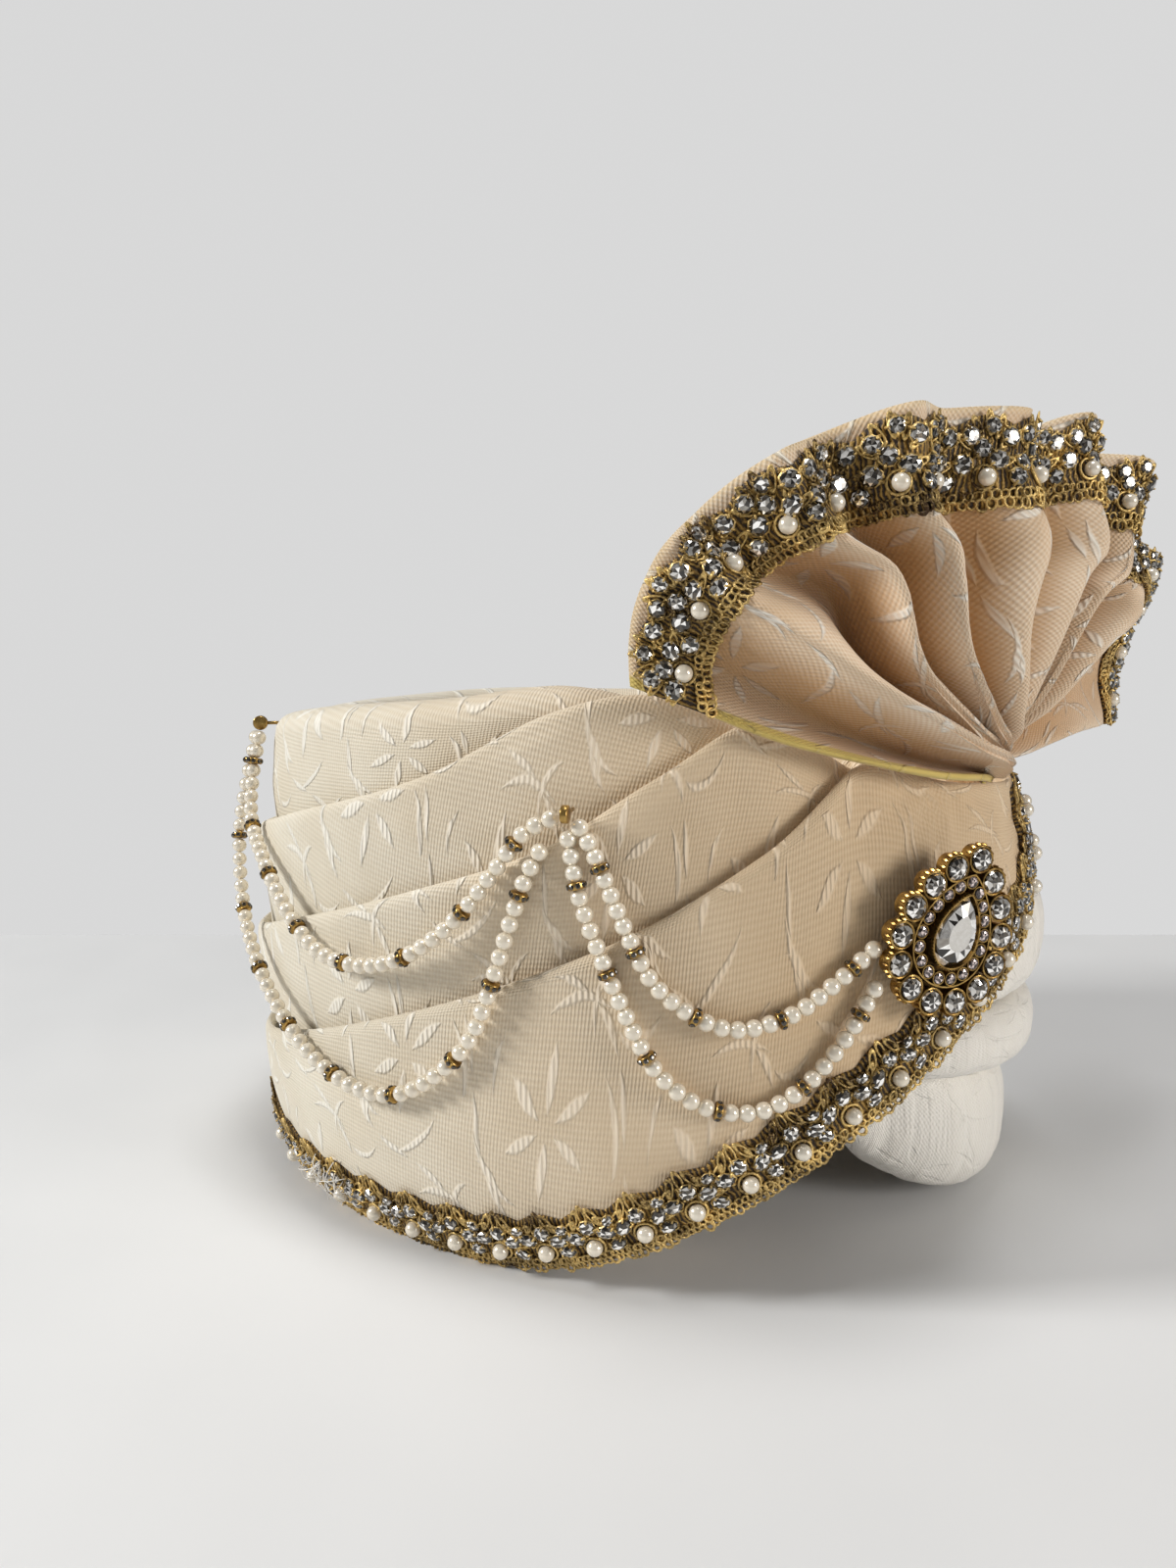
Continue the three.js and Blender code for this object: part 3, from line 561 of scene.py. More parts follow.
def core_section(turn, share):
    front = min(1.0, max(0.0, (70 - abs(turn)) / 30))
    inset = CORE_INSET + CORE_FRONT * front
    top = line_height(0, turn) - CORE_DEPTH
    raised = min(1.0, max(0.0, (96 - abs(turn)) / 8))
    foot = min(top - 12, (line_height(HEM, turn) + 8) * raised)

    def outer(z):
        wound = 0.9 * math.sin(z / 2.6 + math.radians(turn) * 2)
        return surface_radius(turn, z) - inset - 1 + wound

    def inner(z):
        return cap_radius(turn, min(z, CORE_MOUTH), CAP_CLOTH) + CORE_CLEAR

    if share < 0.16:
        return inner(foot) + (outer(foot) - inner(foot)) * share / 0.16, foot
    if share < 0.5:
        z = foot + (top - foot) * (share - 0.16) / 0.34
        return outer(z), z
    if share < 0.7:
        t = (share - 0.5) / 0.2
        lift = 0.8 * math.sin(t * math.pi * 7) * math.sin(t * math.pi)
        return outer(top) + (inner(top) - outer(top)) * t, top + lift
    return inner(top + (foot - top) * (share - 0.7) / 0.3), top + (foot - top) * (share - 0.7) / 0.3


def ring_turn(a):
    return round(-180 + 360 * a, 4)


def core_point(a, b):
    return place(ring_turn(a), *core_section(ring_turn(a), b))


core = grid_piece(
    "wound_cloth",
    180,
    100,
    core_point,
    wrap_cloth,
    Vector((0, 0, 0.08)),
    lambda a, b: (a * 0.8, b * 0.4),
    loop=True,
)
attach(core, "root")
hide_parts("wound_core")

cotton, start = new_finish("cotton", {"Sheen Weight": 0.2})
grains, x, y = woven(start, 0.9)
patch = cloudy(start, 40.0, 3.0)
feed(
    cotton,
    {
        "Base Color": (grains * 0.5 + patch * 0.5).between((0.62, 0.54, 0.43), (0.80, 0.73, 0.62)),
        "Roughness": 0.8 + patch * 0.15,
        "Normal": bumped(grains, 0.0003, 0.7),
    },
)


def cap_point(a, b):
    turn = ring_turn(a)
    foot = max(1.2, line_height(HEM, turn) * 0.85 - 2)
    if b < 0.45:
        z = foot + (CAP_SPRING - foot) * b / 0.45
    else:
        z = CAP_SPRING + (CAP_TOP + CAP_CLOTH - CAP_SPRING) * math.sin(
            (b - 0.45) / 0.55 * math.pi / 2
        )
    return place(turn, cap_radius(turn, z, CAP_CLOTH), z)


cap = grid_piece(
    "cap",
    96,
    48,
    cap_point,
    cotton,
    Vector((0, 0, 0.05)),
    lambda a, b: (a * 0.55, b * 0.16),
    loop=True,
)
thicken(cap, CAP_CLOTH * 0.001)
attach(cap, "root")
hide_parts("head_cap")

# Three padded rolls of off-white satin stacked in the opening at the front, their ends rising
# behind the wraps. The satin is drawn into fine creases across each roll.
# roll, low, high, how far out at the ends and in the middle, thickness, reach in degrees, rise
# at the ends
ROLLS = (
    ("front_roll_upper", 70.0, 109.0, 0.0, 4.0, 26.0, 33.0, -5.0),
    ("front_roll_middle", 47.5, 69.5, -6.5, 2.5, 20.0, 40.0, 2.0),
    ("front_roll_lower", 0.0, 47.0, -14.0, -5.5, 26.0, 36.0, 19.0),
)

satin, start = new_finish(
    "satin", {"Sheen Weight": 0.3, "Sheen Roughness": 0.4, "Specular IOR Level": 0.5}
)
grains, x, y = woven(start, 0.7)
leaves = leaf_mask(x + 11, y * 1.4)
drawn = start.node("CombineXYZ", values={0: x * 0.16, 1: y * 0.02})
wrinkle = start.node("TexNoise", values={0: drawn, "Scale": 1.0, "Detail": 4.0, "Roughness": 0.6})
feed(
    satin,
    {
        "Base Color": (grains * 0.3 + wrinkle * 0.7).between((0.80, 0.755, 0.68), (0.95, 0.925, 0.87)),
        "Roughness": 0.42 + wrinkle * 0.25,
        "Normal": bumped(grains * 0.08 + wrinkle * 1.2 + leaves * 0.14, 0.0018, 0.9),
    },
)


def roll_piece(name, low, high, end_out, out, thick, reach, rise):
    half = (high - low) / 2
    work = bmesh.new()
    bmesh.ops.create_uvsphere(work, u_segments=64, v_segments=90, radius=1)
    cloth = work.loops.layers.uv.new("cloth")
    for face in work.faces:
        for corner in face.loops:
            co = corner.vert.co
            ring = math.atan2(co.y, co.x) * 0.018
            corner[cloth].uv = (co.z * math.radians(reach) * 0.125, ring)
    for vert in work.verts:
        share = vert.co.z
        turn = reach * share
        across = math.atan2(vert.co.y, vert.co.x)
        taper = math.sqrt(max(0.0, 1 - 0.9 * abs(share) ** 3))
        closing = math.sqrt(max(0.0, 1 - max(0.0, (abs(share) - 0.96) / 0.04) ** 2))
        crease = noise.noise(Vector((share * reach / 2.6, 0.8 * math.sin(across), low)))
        bulge = noise.noise(Vector((share * reach / 9, 2 * math.cos(across), low + 5)))
        full = taper * closing * (0.98 - 0.07 * abs(crease) - 0.05 * max(0.0, bulge))
        near_end = min(1.0, 1.6 * share * share)
        inward = out + (end_out - 9 - out) * near_end
        cos, sin = math.cos(across), math.sin(across)
        puffed = math.copysign(abs(cos) ** 0.8, cos), math.copysign(abs(sin) ** 0.8, sin)
        radius = outline(turn) + inward - thick / 2 + thick / 2 * full * puffed[0]
        z = low + half + rise * share * share + half * full * puffed[1]
        vert.co = place(turn, radius, max(0.05, z))
    bmesh.ops.recalc_face_normals(work, faces=work.faces)
    piece = keep(name + "_padding", work, satin)
    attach(piece, "root")
    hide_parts(name)


for roll in ROLLS:
    roll_piece(*roll)

# The gold lace sewn along the edge of the lowest wrap on each side. A puffed band of dark gold
# thread has a scalloped upper edge, crochet loops on its lower edge, and a repeat of crystals in
# claw cups round a pearl.
# turn and height of the lace's lower edge on one side
TRIM_PATH = (
    (0.6, 139.0),
    (0.7, 126.0),
    (1.8, 113.0),
    (8.0, 101.0),
    (17.0, 90.0),
    (28.0, 77.0),
    (45.0, 54.0),
    (62.0, 31.0),
    (74.0, 16.5),
    (84.0, 7.5),
    (94.0, 2.2),
    (106.0, 0.2),
    (125.0, 0.0),
    (152.0, 0.0),
    (179.8, 0.0),
)
LACE_WIDTH, LACE_REPEAT, LOOP_PITCH, PEARL_LINE = 19.0, 18.2, 1.9, 6.8
# place along the repeat and across the lace, long and short radius, for each stone of a repeat
LACE_STONES = (
    (-6.0, 10.4, 3.1, 2.2),
    (-0.2, 13.3, 2.6, 2.5),
    (5.4, 11.0, 3.1, 2.2),
    (9.1, 6.2, 2.7, 2.0),
    (8.9, 14.4, 2.1, 1.6),
)


def smooth_path(points):
    """Points close together on a smooth curve through the given ones, with their lengths."""
    points = [Vector(p) for p in points]
    ends = [2 * points[0] - points[1], *points, 2 * points[-1] - points[-2]]
    fine = []
    for i in range(len(points) - 1):
        p0, p1, p2, p3 = ends[i : i + 4]
        d0, d1, d2 = ((b - a).length ** 0.5 for a, b in ((p0, p1), (p1, p2), (p2, p3)))
        t1 = ((p1 - p0) / d0 - (p2 - p0) / (d0 + d1) + (p2 - p1) / d1) * d1
        t2 = ((p2 - p1) / d1 - (p3 - p1) / (d1 + d2) + (p3 - p2) / d2) * d1
        for j in range(24):
            t = j / 24
            fine.append(
                p1 * (2 * t**3 - 3 * t**2 + 1)
                + t1 * (t**3 - 2 * t**2 + t)
                + p2 * (3 * t**2 - 2 * t**3)
                + t2 * (t**3 - t**2)
            )
    fine.append(points[-1])
    lengths = [0.0]
    for a, b in zip(fine, fine[1:]):
        lengths.append(lengths[-1] + (b - a).length)
    return fine, lengths


def on_path(path, length):
    """The point at a length along a smooth path, and the path's direction there."""
    fine, lengths = path
    length = min(lengths[-1], max(0.0, length))
    i = max(1, min(len(fine) - 1, bisect_left(lengths, length)))
    step = fine[i] - fine[i - 1]
    t = (length - lengths[i - 1]) / max(1e-9, lengths[i] - lengths[i - 1])
    return fine[i - 1] + step * t, step.normalized()


trim_path = smooth_path(
    (math.radians(turn) * HALF_WIDTH, height, 0) for turn, height in TRIM_PATH
)


def edge_lace(side):
    """The place on the edge lace of one side: along it, across it and lifted from it, in mm."""

    def at(along, across, lift):
        spot, way = on_path(trim_path, along)
        turn = side * math.degrees((spot.x - way.y * across) / HALF_WIDTH)
        z = max(0.0, spot.y + way.x * across)
        return place(turn, surface_radius(turn, z) + 0.5 + lift, z)

    return at


# The band is dark brown between its gold threads and in random patches: partly the thread's own colour,
# partly painted shade.
LACE_DARK, LACE_GOLD = (0.02, 0.008, 0.002), (0.55, 0.34, 0.09)
lace_thread, start = new_finish("lace_thread", {"Specular IOR Level": 0.6})
spot = start.node("UVMap", {"uv_map": "cloth"})
apart = spot.node("SeparateXYZ", values={0: spot})
along, across = apart * 1000, apart.also(1) * 1000
tangle = spot.node("TexNoise", values={0: spot, "Scale": 420.0, "Detail": 3.0, "Roughness": 0.6})
rays = ((along + tangle * 2.5) * (2 * math.pi / 1.5)).maths("SINE") * 0.5 + 0.5
threads = rays * 0.6 + tangle * 0.5
patchy = spot.node("TexNoise", values={0: spot, "Scale": 60.0, "Detail": 2.0})
feed(
    lace_thread,
    {
        "Base Color": (threads * 1.3 + patchy * 1.4 - 1.15).between(LACE_DARK, LACE_GOLD),
        "Metallic": threads * 0.6,
        "Roughness": 0.62 - threads * 0.2,
        "Normal": bumped(threads, 0.0008, 1.0),
    },
)
gold_thread, start = new_finish("gold_thread", {"Specular IOR Level": 0.6})
twist = cloudy(start, 1500.0, 1.0)
patchy = cloudy(start, 90.0, 2.0)
feed(
    gold_thread,
    {
        "Base Color": (twist * 1.4 + patchy * 2.4 - 1.35).between((0.05, 0.022, 0.004), (0.92, 0.66, 0.25)),
        "Metallic": patchy * 0.5 + 0.35,
        "Roughness": 0.55 - twist * 0.2,
        "Normal": bumped(twist, 0.0002, 0.8),
    },
)
old_gold, start = new_finish("old_gold", {"Specular IOR Level": 0.6})
wear = cloudy(start, 350.0, 3.0)
feed(
    old_gold,
    {
        "Base Color": (wear * 1.8 - 0.5).between((0.13, 0.065, 0.015), (0.78, 0.52, 0.17)),
        "Metallic": 0.85 + wear * 0.15,
        "Roughness": 0.42 - wear * 0.25,
        "Normal": bumped(wear, 0.0002, 0.5),
    },
)
# painted glints and dark reflections: share of light, colour of a facet
CRYSTAL_LIGHTS = (
    (0.0, (0.012, 0.009, 0.006)),
    (0.42, (0.11, 0.088, 0.062)),
    (0.70, (0.60, 0.57, 0.52)),
    (1.0, (0.95, 0.94, 0.92)),
)
crystal, start = new_finish(
    "crystal",
    {"Coat Weight": 1.0, "Coat Roughness": 0.02, "Specular IOR Level": 0.9, "Emission Strength": 1.0},
)
glint = start.node("Attribute", {"attribute_name": "facet"}, out=2)
glint_speck = cloudy(start, 900.0, 2.0)
shine = glint + glint_speck * 0.2 - 0.1
feed(
    crystal,
    {
        "Base Color": shine.node("ValToRGB", {"stops": CRYSTAL_LIGHTS}, {0: shine}),
        # The brightest facets glow a little as painted glints.
        "Emission Color": shine.step(0.85, 1.1).between((0, 0, 0), (0.30, 0.29, 0.275)),
        "Metallic": glint * 0.3 + 0.6,
        "Roughness": 0.12 - glint * 0.06,
    },
)
pearl, start = new_finish(
    "pearl",
    {"Coat Weight": 1.0, "Coat Roughness": 0.04, "Specular IOR Level": 0.7},
)
lustre = cloudy(start, 120.0, 2.0)
feed(
    pearl,
    {
        "Base Color": lustre.between((0.80, 0.70, 0.54), (0.95, 0.90, 0.79)),
        "Metallic": lustre * 0.5,
        "Roughness": 0.2 + lustre * 0.1,
    },
)


def corners(made):
    """The corners among the parts that an operator made."""
    return [part for part in made if isinstance(part, bmesh.types.BMVert)]


def small_part(work):
    """Frees a work in hand into a mesh that can be set many times."""
    mesh = bpy.data.meshes.new("part")
    work.to_mesh(mesh)
    work.free()
    return mesh


def set_on(work, part, matrix):
    """Sets a copy of a small part into the work in hand."""
    copy = part.copy()
    copy.transform(matrix)
    work.from_mesh(copy)
    bpy.data.meshes.remove(copy)


def wire_ring(radius, wire, steps=12, sides=6):
    """A ring of thread or wire lying flat."""
    work = bmesh.new()
    bmesh.ops.create_circle(work, segments=sides, radius=wire)
    bmesh.ops.rotate(work, verts=work.verts, matrix=Matrix.Rotation(math.pi / 2, 3, "X"))
    bmesh.ops.translate(work, verts=work.verts, vec=(radius, 0, 0))
    bmesh.ops.spin(
        work,
        geom=work.verts[:] + work.edges[:],
        cent=(0, 0, 0),
        axis=(0, 0, 1),
        angle=2 * math.pi,
        steps=steps,
        use_merge=True,
    )
    bmesh.ops.remove_doubles(work, verts=work.verts, dist=wire * 0.02)
    bmesh.ops.recalc_face_normals(work, faces=work.faces)
    return small_part(work)


# The shares of painted light that a stone's facets draw from, for bright and for dark stones.
BRIGHT_GLINTS, DARK_GLINTS = (0.0, 0.05, 0.3, 0.55, 0.85, 1.0), (0.0, 0.05, 0.1, 0.35)


def by_place(face):
    """A key that puts the facets of a stone in the same order in each run."""
    return tuple(round(value, 3) for value in face.calc_center_median())


def cut_stone(sides, seed, table=0.56, crown=0.42, depth=0.45, lights=BRIGHT_GLINTS):
    """A foiled stone of radius 1: a table, two rows of crown facets and a blunt back, each facet painted
    with a glint drawn at random from lights.
    """
    chance = Random(seed)
    work = bmesh.new()
    facet = work.faces.layers.float.new("facet")
    bmesh.ops.create_circle(work, segments=sides, radius=1)
    girdle = work.edges[:]
    low = corners(bmesh.ops.extrude_edge_only(work, edges=girdle)["geom"])
    bmesh.ops.scale(work, verts=low, vec=(0.5, 0.5, 1))
    bmesh.ops.translate(work, verts=low, vec=(0, 0, -depth))
    edges = girdle
    for size, lift in ((0.86, crown * 0.62), (table, crown)):
        made = bmesh.ops.extrude_edge_only(work, edges=edges)["geom"]
        ring = corners(made)
        edges = [e for e in made if isinstance(e, bmesh.types.BMEdge)]
        edges = [e for e in edges if all(v in ring for v in e.verts)]
        reach = max(v.co.to_2d().length for v in ring)
        bmesh.ops.scale(work, verts=ring, vec=(size / reach, size / reach, 1))
        bmesh.ops.translate(work, verts=ring, vec=(0, 0, lift - ring[0].co.z))
        turned = Matrix.Rotation(math.pi / sides, 3, "Z")
        bmesh.ops.rotate(work, verts=ring, matrix=turned)
    top = bmesh.ops.contextual_create(work, geom=edges)["faces"]
    bmesh.ops.poke(work, faces=top)
    bmesh.ops.triangulate(work, faces=[f for f in work.faces if len(f.verts) == 4])
    bmesh.ops.recalc_face_normals(work, faces=work.faces)
    for face in sorted(work.faces, key=by_place):
        face[facet] = chance.choice(lights)
    return small_part(work)


def claw_cup(sides=8):
    """A cup of radius 1 with four claws that hold a stone over it."""
    work = bmesh.new()
    bmesh.ops.create_cone(
        work, cap_ends=True, segments=sides, radius1=0.7, radius2=1.12, depth=0.7
    )
    bmesh.ops.translate(work, verts=work.verts, vec=(0, 0, -0.25))
    for i in range(4):
        claw = bmesh.ops.create_cone(
            work, cap_ends=True, segments=4, radius1=0.2, radius2=0.1, depth=0.75
        )["verts"]
        bmesh.ops.rotate(work, verts=claw, matrix=Matrix.Rotation(-0.55, 3, "Y"))
        bmesh.ops.translate(work, verts=claw, vec=(1.02, 0, 0.2))
        turned = Matrix.Rotation(math.pi * (i + 0.5) / 2, 3, "Z")
        bmesh.ops.rotate(work, verts=claw, matrix=turned)
    return small_part(work)


def ball(radius, rounds=3):
    work = bmesh.new()
    bmesh.ops.create_icosphere(work, subdivisions=rounds, radius=radius)
    return small_part(work)


crystals = [cut_stone(8, seed) for seed in range(5)]
cup = claw_cup()
loop_ring = wire_ring(0.00115, 0.00034)
pearl_ring = wire_ring(0.0032, 0.00042, 16)
lace_pearl = ball(0.00245, 3)


def lace_trim(name, at, length, node, behind, seed, repeats, set_stones=LACE_STONES):
    """Makes the lace of one edge: the band, its thread loops and cups, its stones and pearls."""
    chance = Random(seed)
    steps = int(length / 1.3)

    def point(a, b):
        along = length * a
        scallop = abs(math.sin(math.pi * along / (length / repeats)))
        across = (LACE_WIDTH - 2.2 + 2.2 * scallop) * b
        puff = 1.1 * math.sin(math.pi * min(1, b * 1.05)) ** 0.6
        return at(along, across, puff)

    band = grid_piece(
        name,
        steps,
        14,
        point,
        lace_thread,
        Vector(behind),
        lambda a, b: (a * length * 0.001, b * LACE_WIDTH * 0.001),
    )
    thicken(band, 0.0008)
    threads, stones, pearls = bmesh.new(), bmesh.new(), bmesh.new()
    stones.faces.layers.float.new("facet")

    def stand(along, across, lift, spin=0.0, lean=0.0, size=(1, 1, 1)):
        spot = at(along, across, lift)
        ahead = (at(along + 0.5, across, lift) - at(along - 0.5, across, lift)).normalized()
        up = ahead.cross(at(along, across + 0.5, lift) - at(along, across - 0.5, lift)).normalized()
        if up.dot(spot - Vector(behind)) < 0:
            up = -up
        frame_of = Matrix((ahead, up.cross(ahead), up)).transposed().to_4x4()
        turned = Matrix.Rotation(spin, 4, "Z") @ Matrix.Rotation(lean, 4, "X")
        return Matrix.Translation(spot) @ frame_of @ turned @ Matrix.Diagonal((*size, 1))

    for i in range(int(length / LOOP_PITCH)):
        along = (i + 0.5) * LOOP_PITCH
        size = chance.uniform(0.9, 1.25)
        lift = chance.uniform(0.3, 1.0)
        tilt = chance.uniform(-0.5, 0.5)
        across = 0.9 + chance.uniform(-0.3, 0.3)
        first = stand(along, across, lift, 0.3, tilt, (size, size * 1.3, 1))
        set_on(threads, loop_ring, first)
        second = stand(along + 0.9, 3.0, lift + 0.5, 0.9, -tilt, (size, size, 1))
        set_on(threads, loop_ring, second)
    pitch = length / repeats
    for i in range(repeats):
        middle = (i + 0.5) * pitch
        set_on(pearls, lace_pearl, stand(middle, PEARL_LINE, 2.5))
        set_on(threads, pearl_ring, stand(middle, PEARL_LINE, 1.4))
        for ray in range(-3, 4):
            bend = math.radians(90 - ray * 24)
            reach = 10.6 if abs(ray) < 3 else 8.6
            along = middle + math.cos(bend) * reach * 0.8
            across = min(LACE_WIDTH - 1.6, PEARL_LINE + math.sin(bend) * reach)
            set_on(threads, loop_ring, stand(along, across, 1.2, bend, 0, (2.6, 0.9, 1)))
        for along, across, longer, shorter in set_stones:
            spin = chance.uniform(-0.7, 0.7)
            spread = chance.uniform(-0.5, 0.5)
            size = Vector((longer, shorter, (longer + shorter) / 2)) * 0.001
            spot = middle + along + spread, across + chance.uniform(-0.4, 0.4)
            if not 2 < spot[0] < length - 2:
                continue
            set_on(threads, cup, stand(*spot, 1.5, spin, 0, size))
            set_on(stones, chance.choice(crystals), stand(*spot, 1.7, spin, 0, size))
    ornaments = [
        keep(name + "_threads", threads, gold_thread),
        keep(name + "_stones", stones, crystal, smooth=False),
        keep(name + "_pearls", pearls, pearl),
    ]
    for piece, slot in zip([band, *ornaments], ("gold_lace", "gold_lace", "crystal", "pearl")):
        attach(piece, "root")
    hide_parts(node)


trim_length = trim_path[1][-1]
for side, name in ((1, "edge_lace_right"), (-1, "edge_lace_left")):
    node = name.replace("lace", "trim")
    centre = (AXIS[0] * 0.001, AXIS[1] * 0.001, 0.07)
    lace_trim(name, edge_lace(side), trim_length, node, centre, 5 + side, 26)

# The fan: stiffened brocade folded into soft pleats that are gathered in a neck at the front and
# open over the right side, with a pale edging along its lower hem.
# plan of its foot, from the left to the back
FAN_FOOT = (
    (92, -161),
    (60, -149.5),
    (28, -137.5),
    (-4, -125.5),
    (-30, -117),
    (-50, -114),
    (-69, -105),
    (-88, -88),
    (-102, -65),
    (-111, -42),
    (-117, -15),
    (-119, 8),
    (-118, 24),
)
# crease's angle at the rim, at two thirds of the way and at the neck, its reach, and how far it
# stands forward
FAN_CREASES = (
    (13, 10.5, 8, 141, 1),
    (20, 17, 12, 146, -4),
    (27.5, 25.5, 20, 146, 12),
    (33, 28, 22, 143, -6),
    (42, 33, 26, 137, 9),
    (48, 36, 29, 131, -6),
    (57, 41, 33, 125, 10),
    (64, 47, 36, 117, -7),
    (76, 62, 44, 110, 11),
    (90, 80, 66, 104, -8),
    (102, 105, 98, 113, 10),
    (111, 112, 105, 108, -5),
    (122, 119, 112, 115, 10),
    (133, 128, 120, 108, -5),
    (148, 142, 134, 124, 9),
    (163, 158, 150, 125, -2),
    (177, 174, 168, 119, 6),
)
FAN_Z, FAN_NECK, FAN_THICK, FAN_MIDDLE = 145.5, 9.0, 2.0, 0.66
REACH, STAND = 3, 4
last_crease = len(FAN_CREASES) - 1
fan_foot = smooth_path((x, y, 0) for x, y in FAN_FOOT)
neck_length = fan_foot[1][4 * 24]
fan_columns = [
    table_curve([(i, *row) for i, row in enumerate(FAN_CREASES)], c) for c in range(1, 6)
]


def fan_place(along, up, stand):
    """The place of a fan point: along the foot from the neck, up, and out from the cloth."""
    spot, way = on_path(fan_foot, neck_length + along)
    front = Vector((way.y, -way.x, 0))
    if front.dot(spot) < 0:
        front = -front
    far = min(1.0, max(0.0, -along / 60))
    spot += front * (stand + (0.05 + 0.19 * far) * max(0.0, up))
    return Vector((spot.x + AXIS[0], spot.y + AXIS[1], FAN_Z + up)) * 0.001


def fan_point(crease, share, lift=0.0):
    """The fan at a crease number, which may be between two, and a share of its reach."""
    rim, middle, near, reach, stand = (column(crease) for column in fan_columns)
    if share > FAN_MIDDLE:
        t = (share - FAN_MIDDLE) / (1 - FAN_MIDDLE)
        angle = middle + (rim - middle) * (1.35 * t - 0.35 * t * t)
    else:
        t = share / FAN_MIDDLE
        angle = near + (middle - near) * t * t
    inner = min(1.0, max(0.0, min(crease - 2, last_crease - 3 - crease)))
    angle += 6.5 * inner * math.exp(-(((share - 0.68) / 0.11) ** 2))
    stand += 1.1 * noise.noise(Vector((crease * 0.9, share * 4, 2.2)))
    a = math.radians(angle)
    reach_in = FAN_NECK + (reach - FAN_NECK) * share
    gathered = FAN_NECK * (1 - 2 * crease / last_crease)
    if share < 0:
        along, up, forward = gathered, share * 60, stand * 0.2 - 7 + gathered * 0.8
    else:
        drawn_in = (1 - min(1.0, share / 0.3)) ** 2
        along = gathered * drawn_in + reach_in * math.cos(a) * (1 - drawn_in)
        up = math.sin(a) * reach * share
        settle = -6 * max(0.0, 1 - share / 0.2)
        deep = 0.5 + 1.45 * math.sin(math.pi * min(1, share + 0.12)) ** 0.8
        forward = stand * min(1.0, 0.35 + share) * deep + settle
        forward += 1.3 * math.cos(2 * math.pi * crease) * math.exp(-share / 0.25)
        forward += gathered * drawn_in * 0.8
        forward += 1.2 * noise.noise(Vector((crease * 2.3, share * 7, 9.1))) * share
    return fan_place(along, up, forward + lift)


def fold_shade_mask(a, b):
    """How much painted shade the fan's cloth gets, from 0 to 1: most deep in a fold, on the slopes
    turned from the key lamp and near the neck, and none at the rim.
    """
    share = max(0.0, b * 1.12 - 0.12)
    stand = fan_columns[STAND](a * last_crease)
    rising = max(0.0, fan_columns[STAND](a * last_crease + 0.15) - stand)
    deep = min(1.0, max(0.0, (4 - stand) / 13 + rising * 0.24)) * (1.15 - 0.4 * share)
    rim = min(1.0, max(0.0, (0.97 - share) / 0.05))
    return min(1.0, deep + 0.3 * math.exp(-share / 0.12)) * rim


def yellow_hem(a, b):
    """The yellow edging along the lower hem and the rim, from 0 to 1."""
    return 1.0 if a < 0.009 else 0.25 if b > 0.985 else 0.0


# painted shade in the fan's folds, and the own yellow of its edging
PAINTED_FOLD_SHADE, HEM_YELLOW = (0.42, 0.20, 0.045), (0.66, 0.50, 0.14)


def fold_shade_and_hem(start, colour):
    """The cloth of the fan has painted amber-brown shade down in its folds, and its edging has its own
    yellow.
    """
    folds = start.node("Attribute", {"attribute_name": "fold"}, out=2)
    hem = start.node("Attribute", {"attribute_name": "hem"}, out=2)
    fold_shaded = (folds * 0.85).between(colour, PAINTED_FOLD_SHADE)
    return hem.between(fold_shaded, HEM_YELLOW)


fan_cloth = brocade(
    "fan_brocade", (0.99, 0.88, 0.73), (0.66, 0.43, 0.23), (0.99, 0.94, 0.84), 0.85, 1.1, fold_shade_and_hem
)
FAN_FRONT = Vector((0.02, 0.05, 0.19))
fan = grid_piece(
    "pleated_fan",
    340,
    64,
    lambda a, b: fan_point(a * last_crease, b * 1.12 - 0.12),
    fan_cloth,
    FAN_FRONT,
    lambda a, b: (a * 0.42, b * 0.14),
    marks={"fold": fold_shade_mask, "hem": yellow_hem},
)
thicken(fan, FAN_THICK * 0.001)
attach(fan, "root")
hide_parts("fan")

# The lace along the rim of the fan, its crochet loops towards the neck and its stones outside.
RIM_LACE_WIDTH, RIM_BARE, RIM_STEPS = 23.0, 2.0, 40
# place along the repeat and across the lace, long and short radius, for each stone of a repeat
RIM_STONES = (
    (-6.2, 9.6, 3.0, 2.8),
    (-1.2, 12.2, 2.7, 2.7),
    (3.9, 9.9, 3.1, 2.6),
    (8.6, 6.2, 2.8, 2.5),
    (-5.2, 15.3, 2.7, 2.5),
    (0.9, 16.9, 2.4, 2.3),
    (6.6, 14.6, 2.9, 2.6),
)
rim_lengths = [0.0]
for i in range(last_crease * RIM_STEPS):
    step = fan_point((i + 1) / RIM_STEPS, 0.9) - fan_point(i / RIM_STEPS, 0.9)
    rim_lengths.append(rim_lengths[-1] + step.length * 1000)


def rim_lace(along, across, lift):
    """The place on the fan's lace: along it, across it and lifted from it, in mm."""
    along = min(rim_lengths[-1] - 0.01, max(0.0, along))
    i = bisect_left(rim_lengths, along + 1e-9) - 1
    i = max(0, min(last_crease * RIM_STEPS - 1, i))
    t = (along - rim_lengths[i]) / (rim_lengths[i + 1] - rim_lengths[i])
    crease = (i + t) / RIM_STEPS
    reach = fan_columns[REACH](crease)
    share = 1 - (RIM_LACE_WIDTH + RIM_BARE - across * RIM_LACE_WIDTH / LACE_WIDTH) / reach
    return fan_point(crease, share, lift + 0.8)


lace_trim(
    "fan_lace",
    rim_lace,
    rim_lengths[-1],
    "fan_trim",
    FAN_FRONT,
    11,
    round(rim_lengths[-1] / LACE_REPEAT),
    RIM_STONES,
)

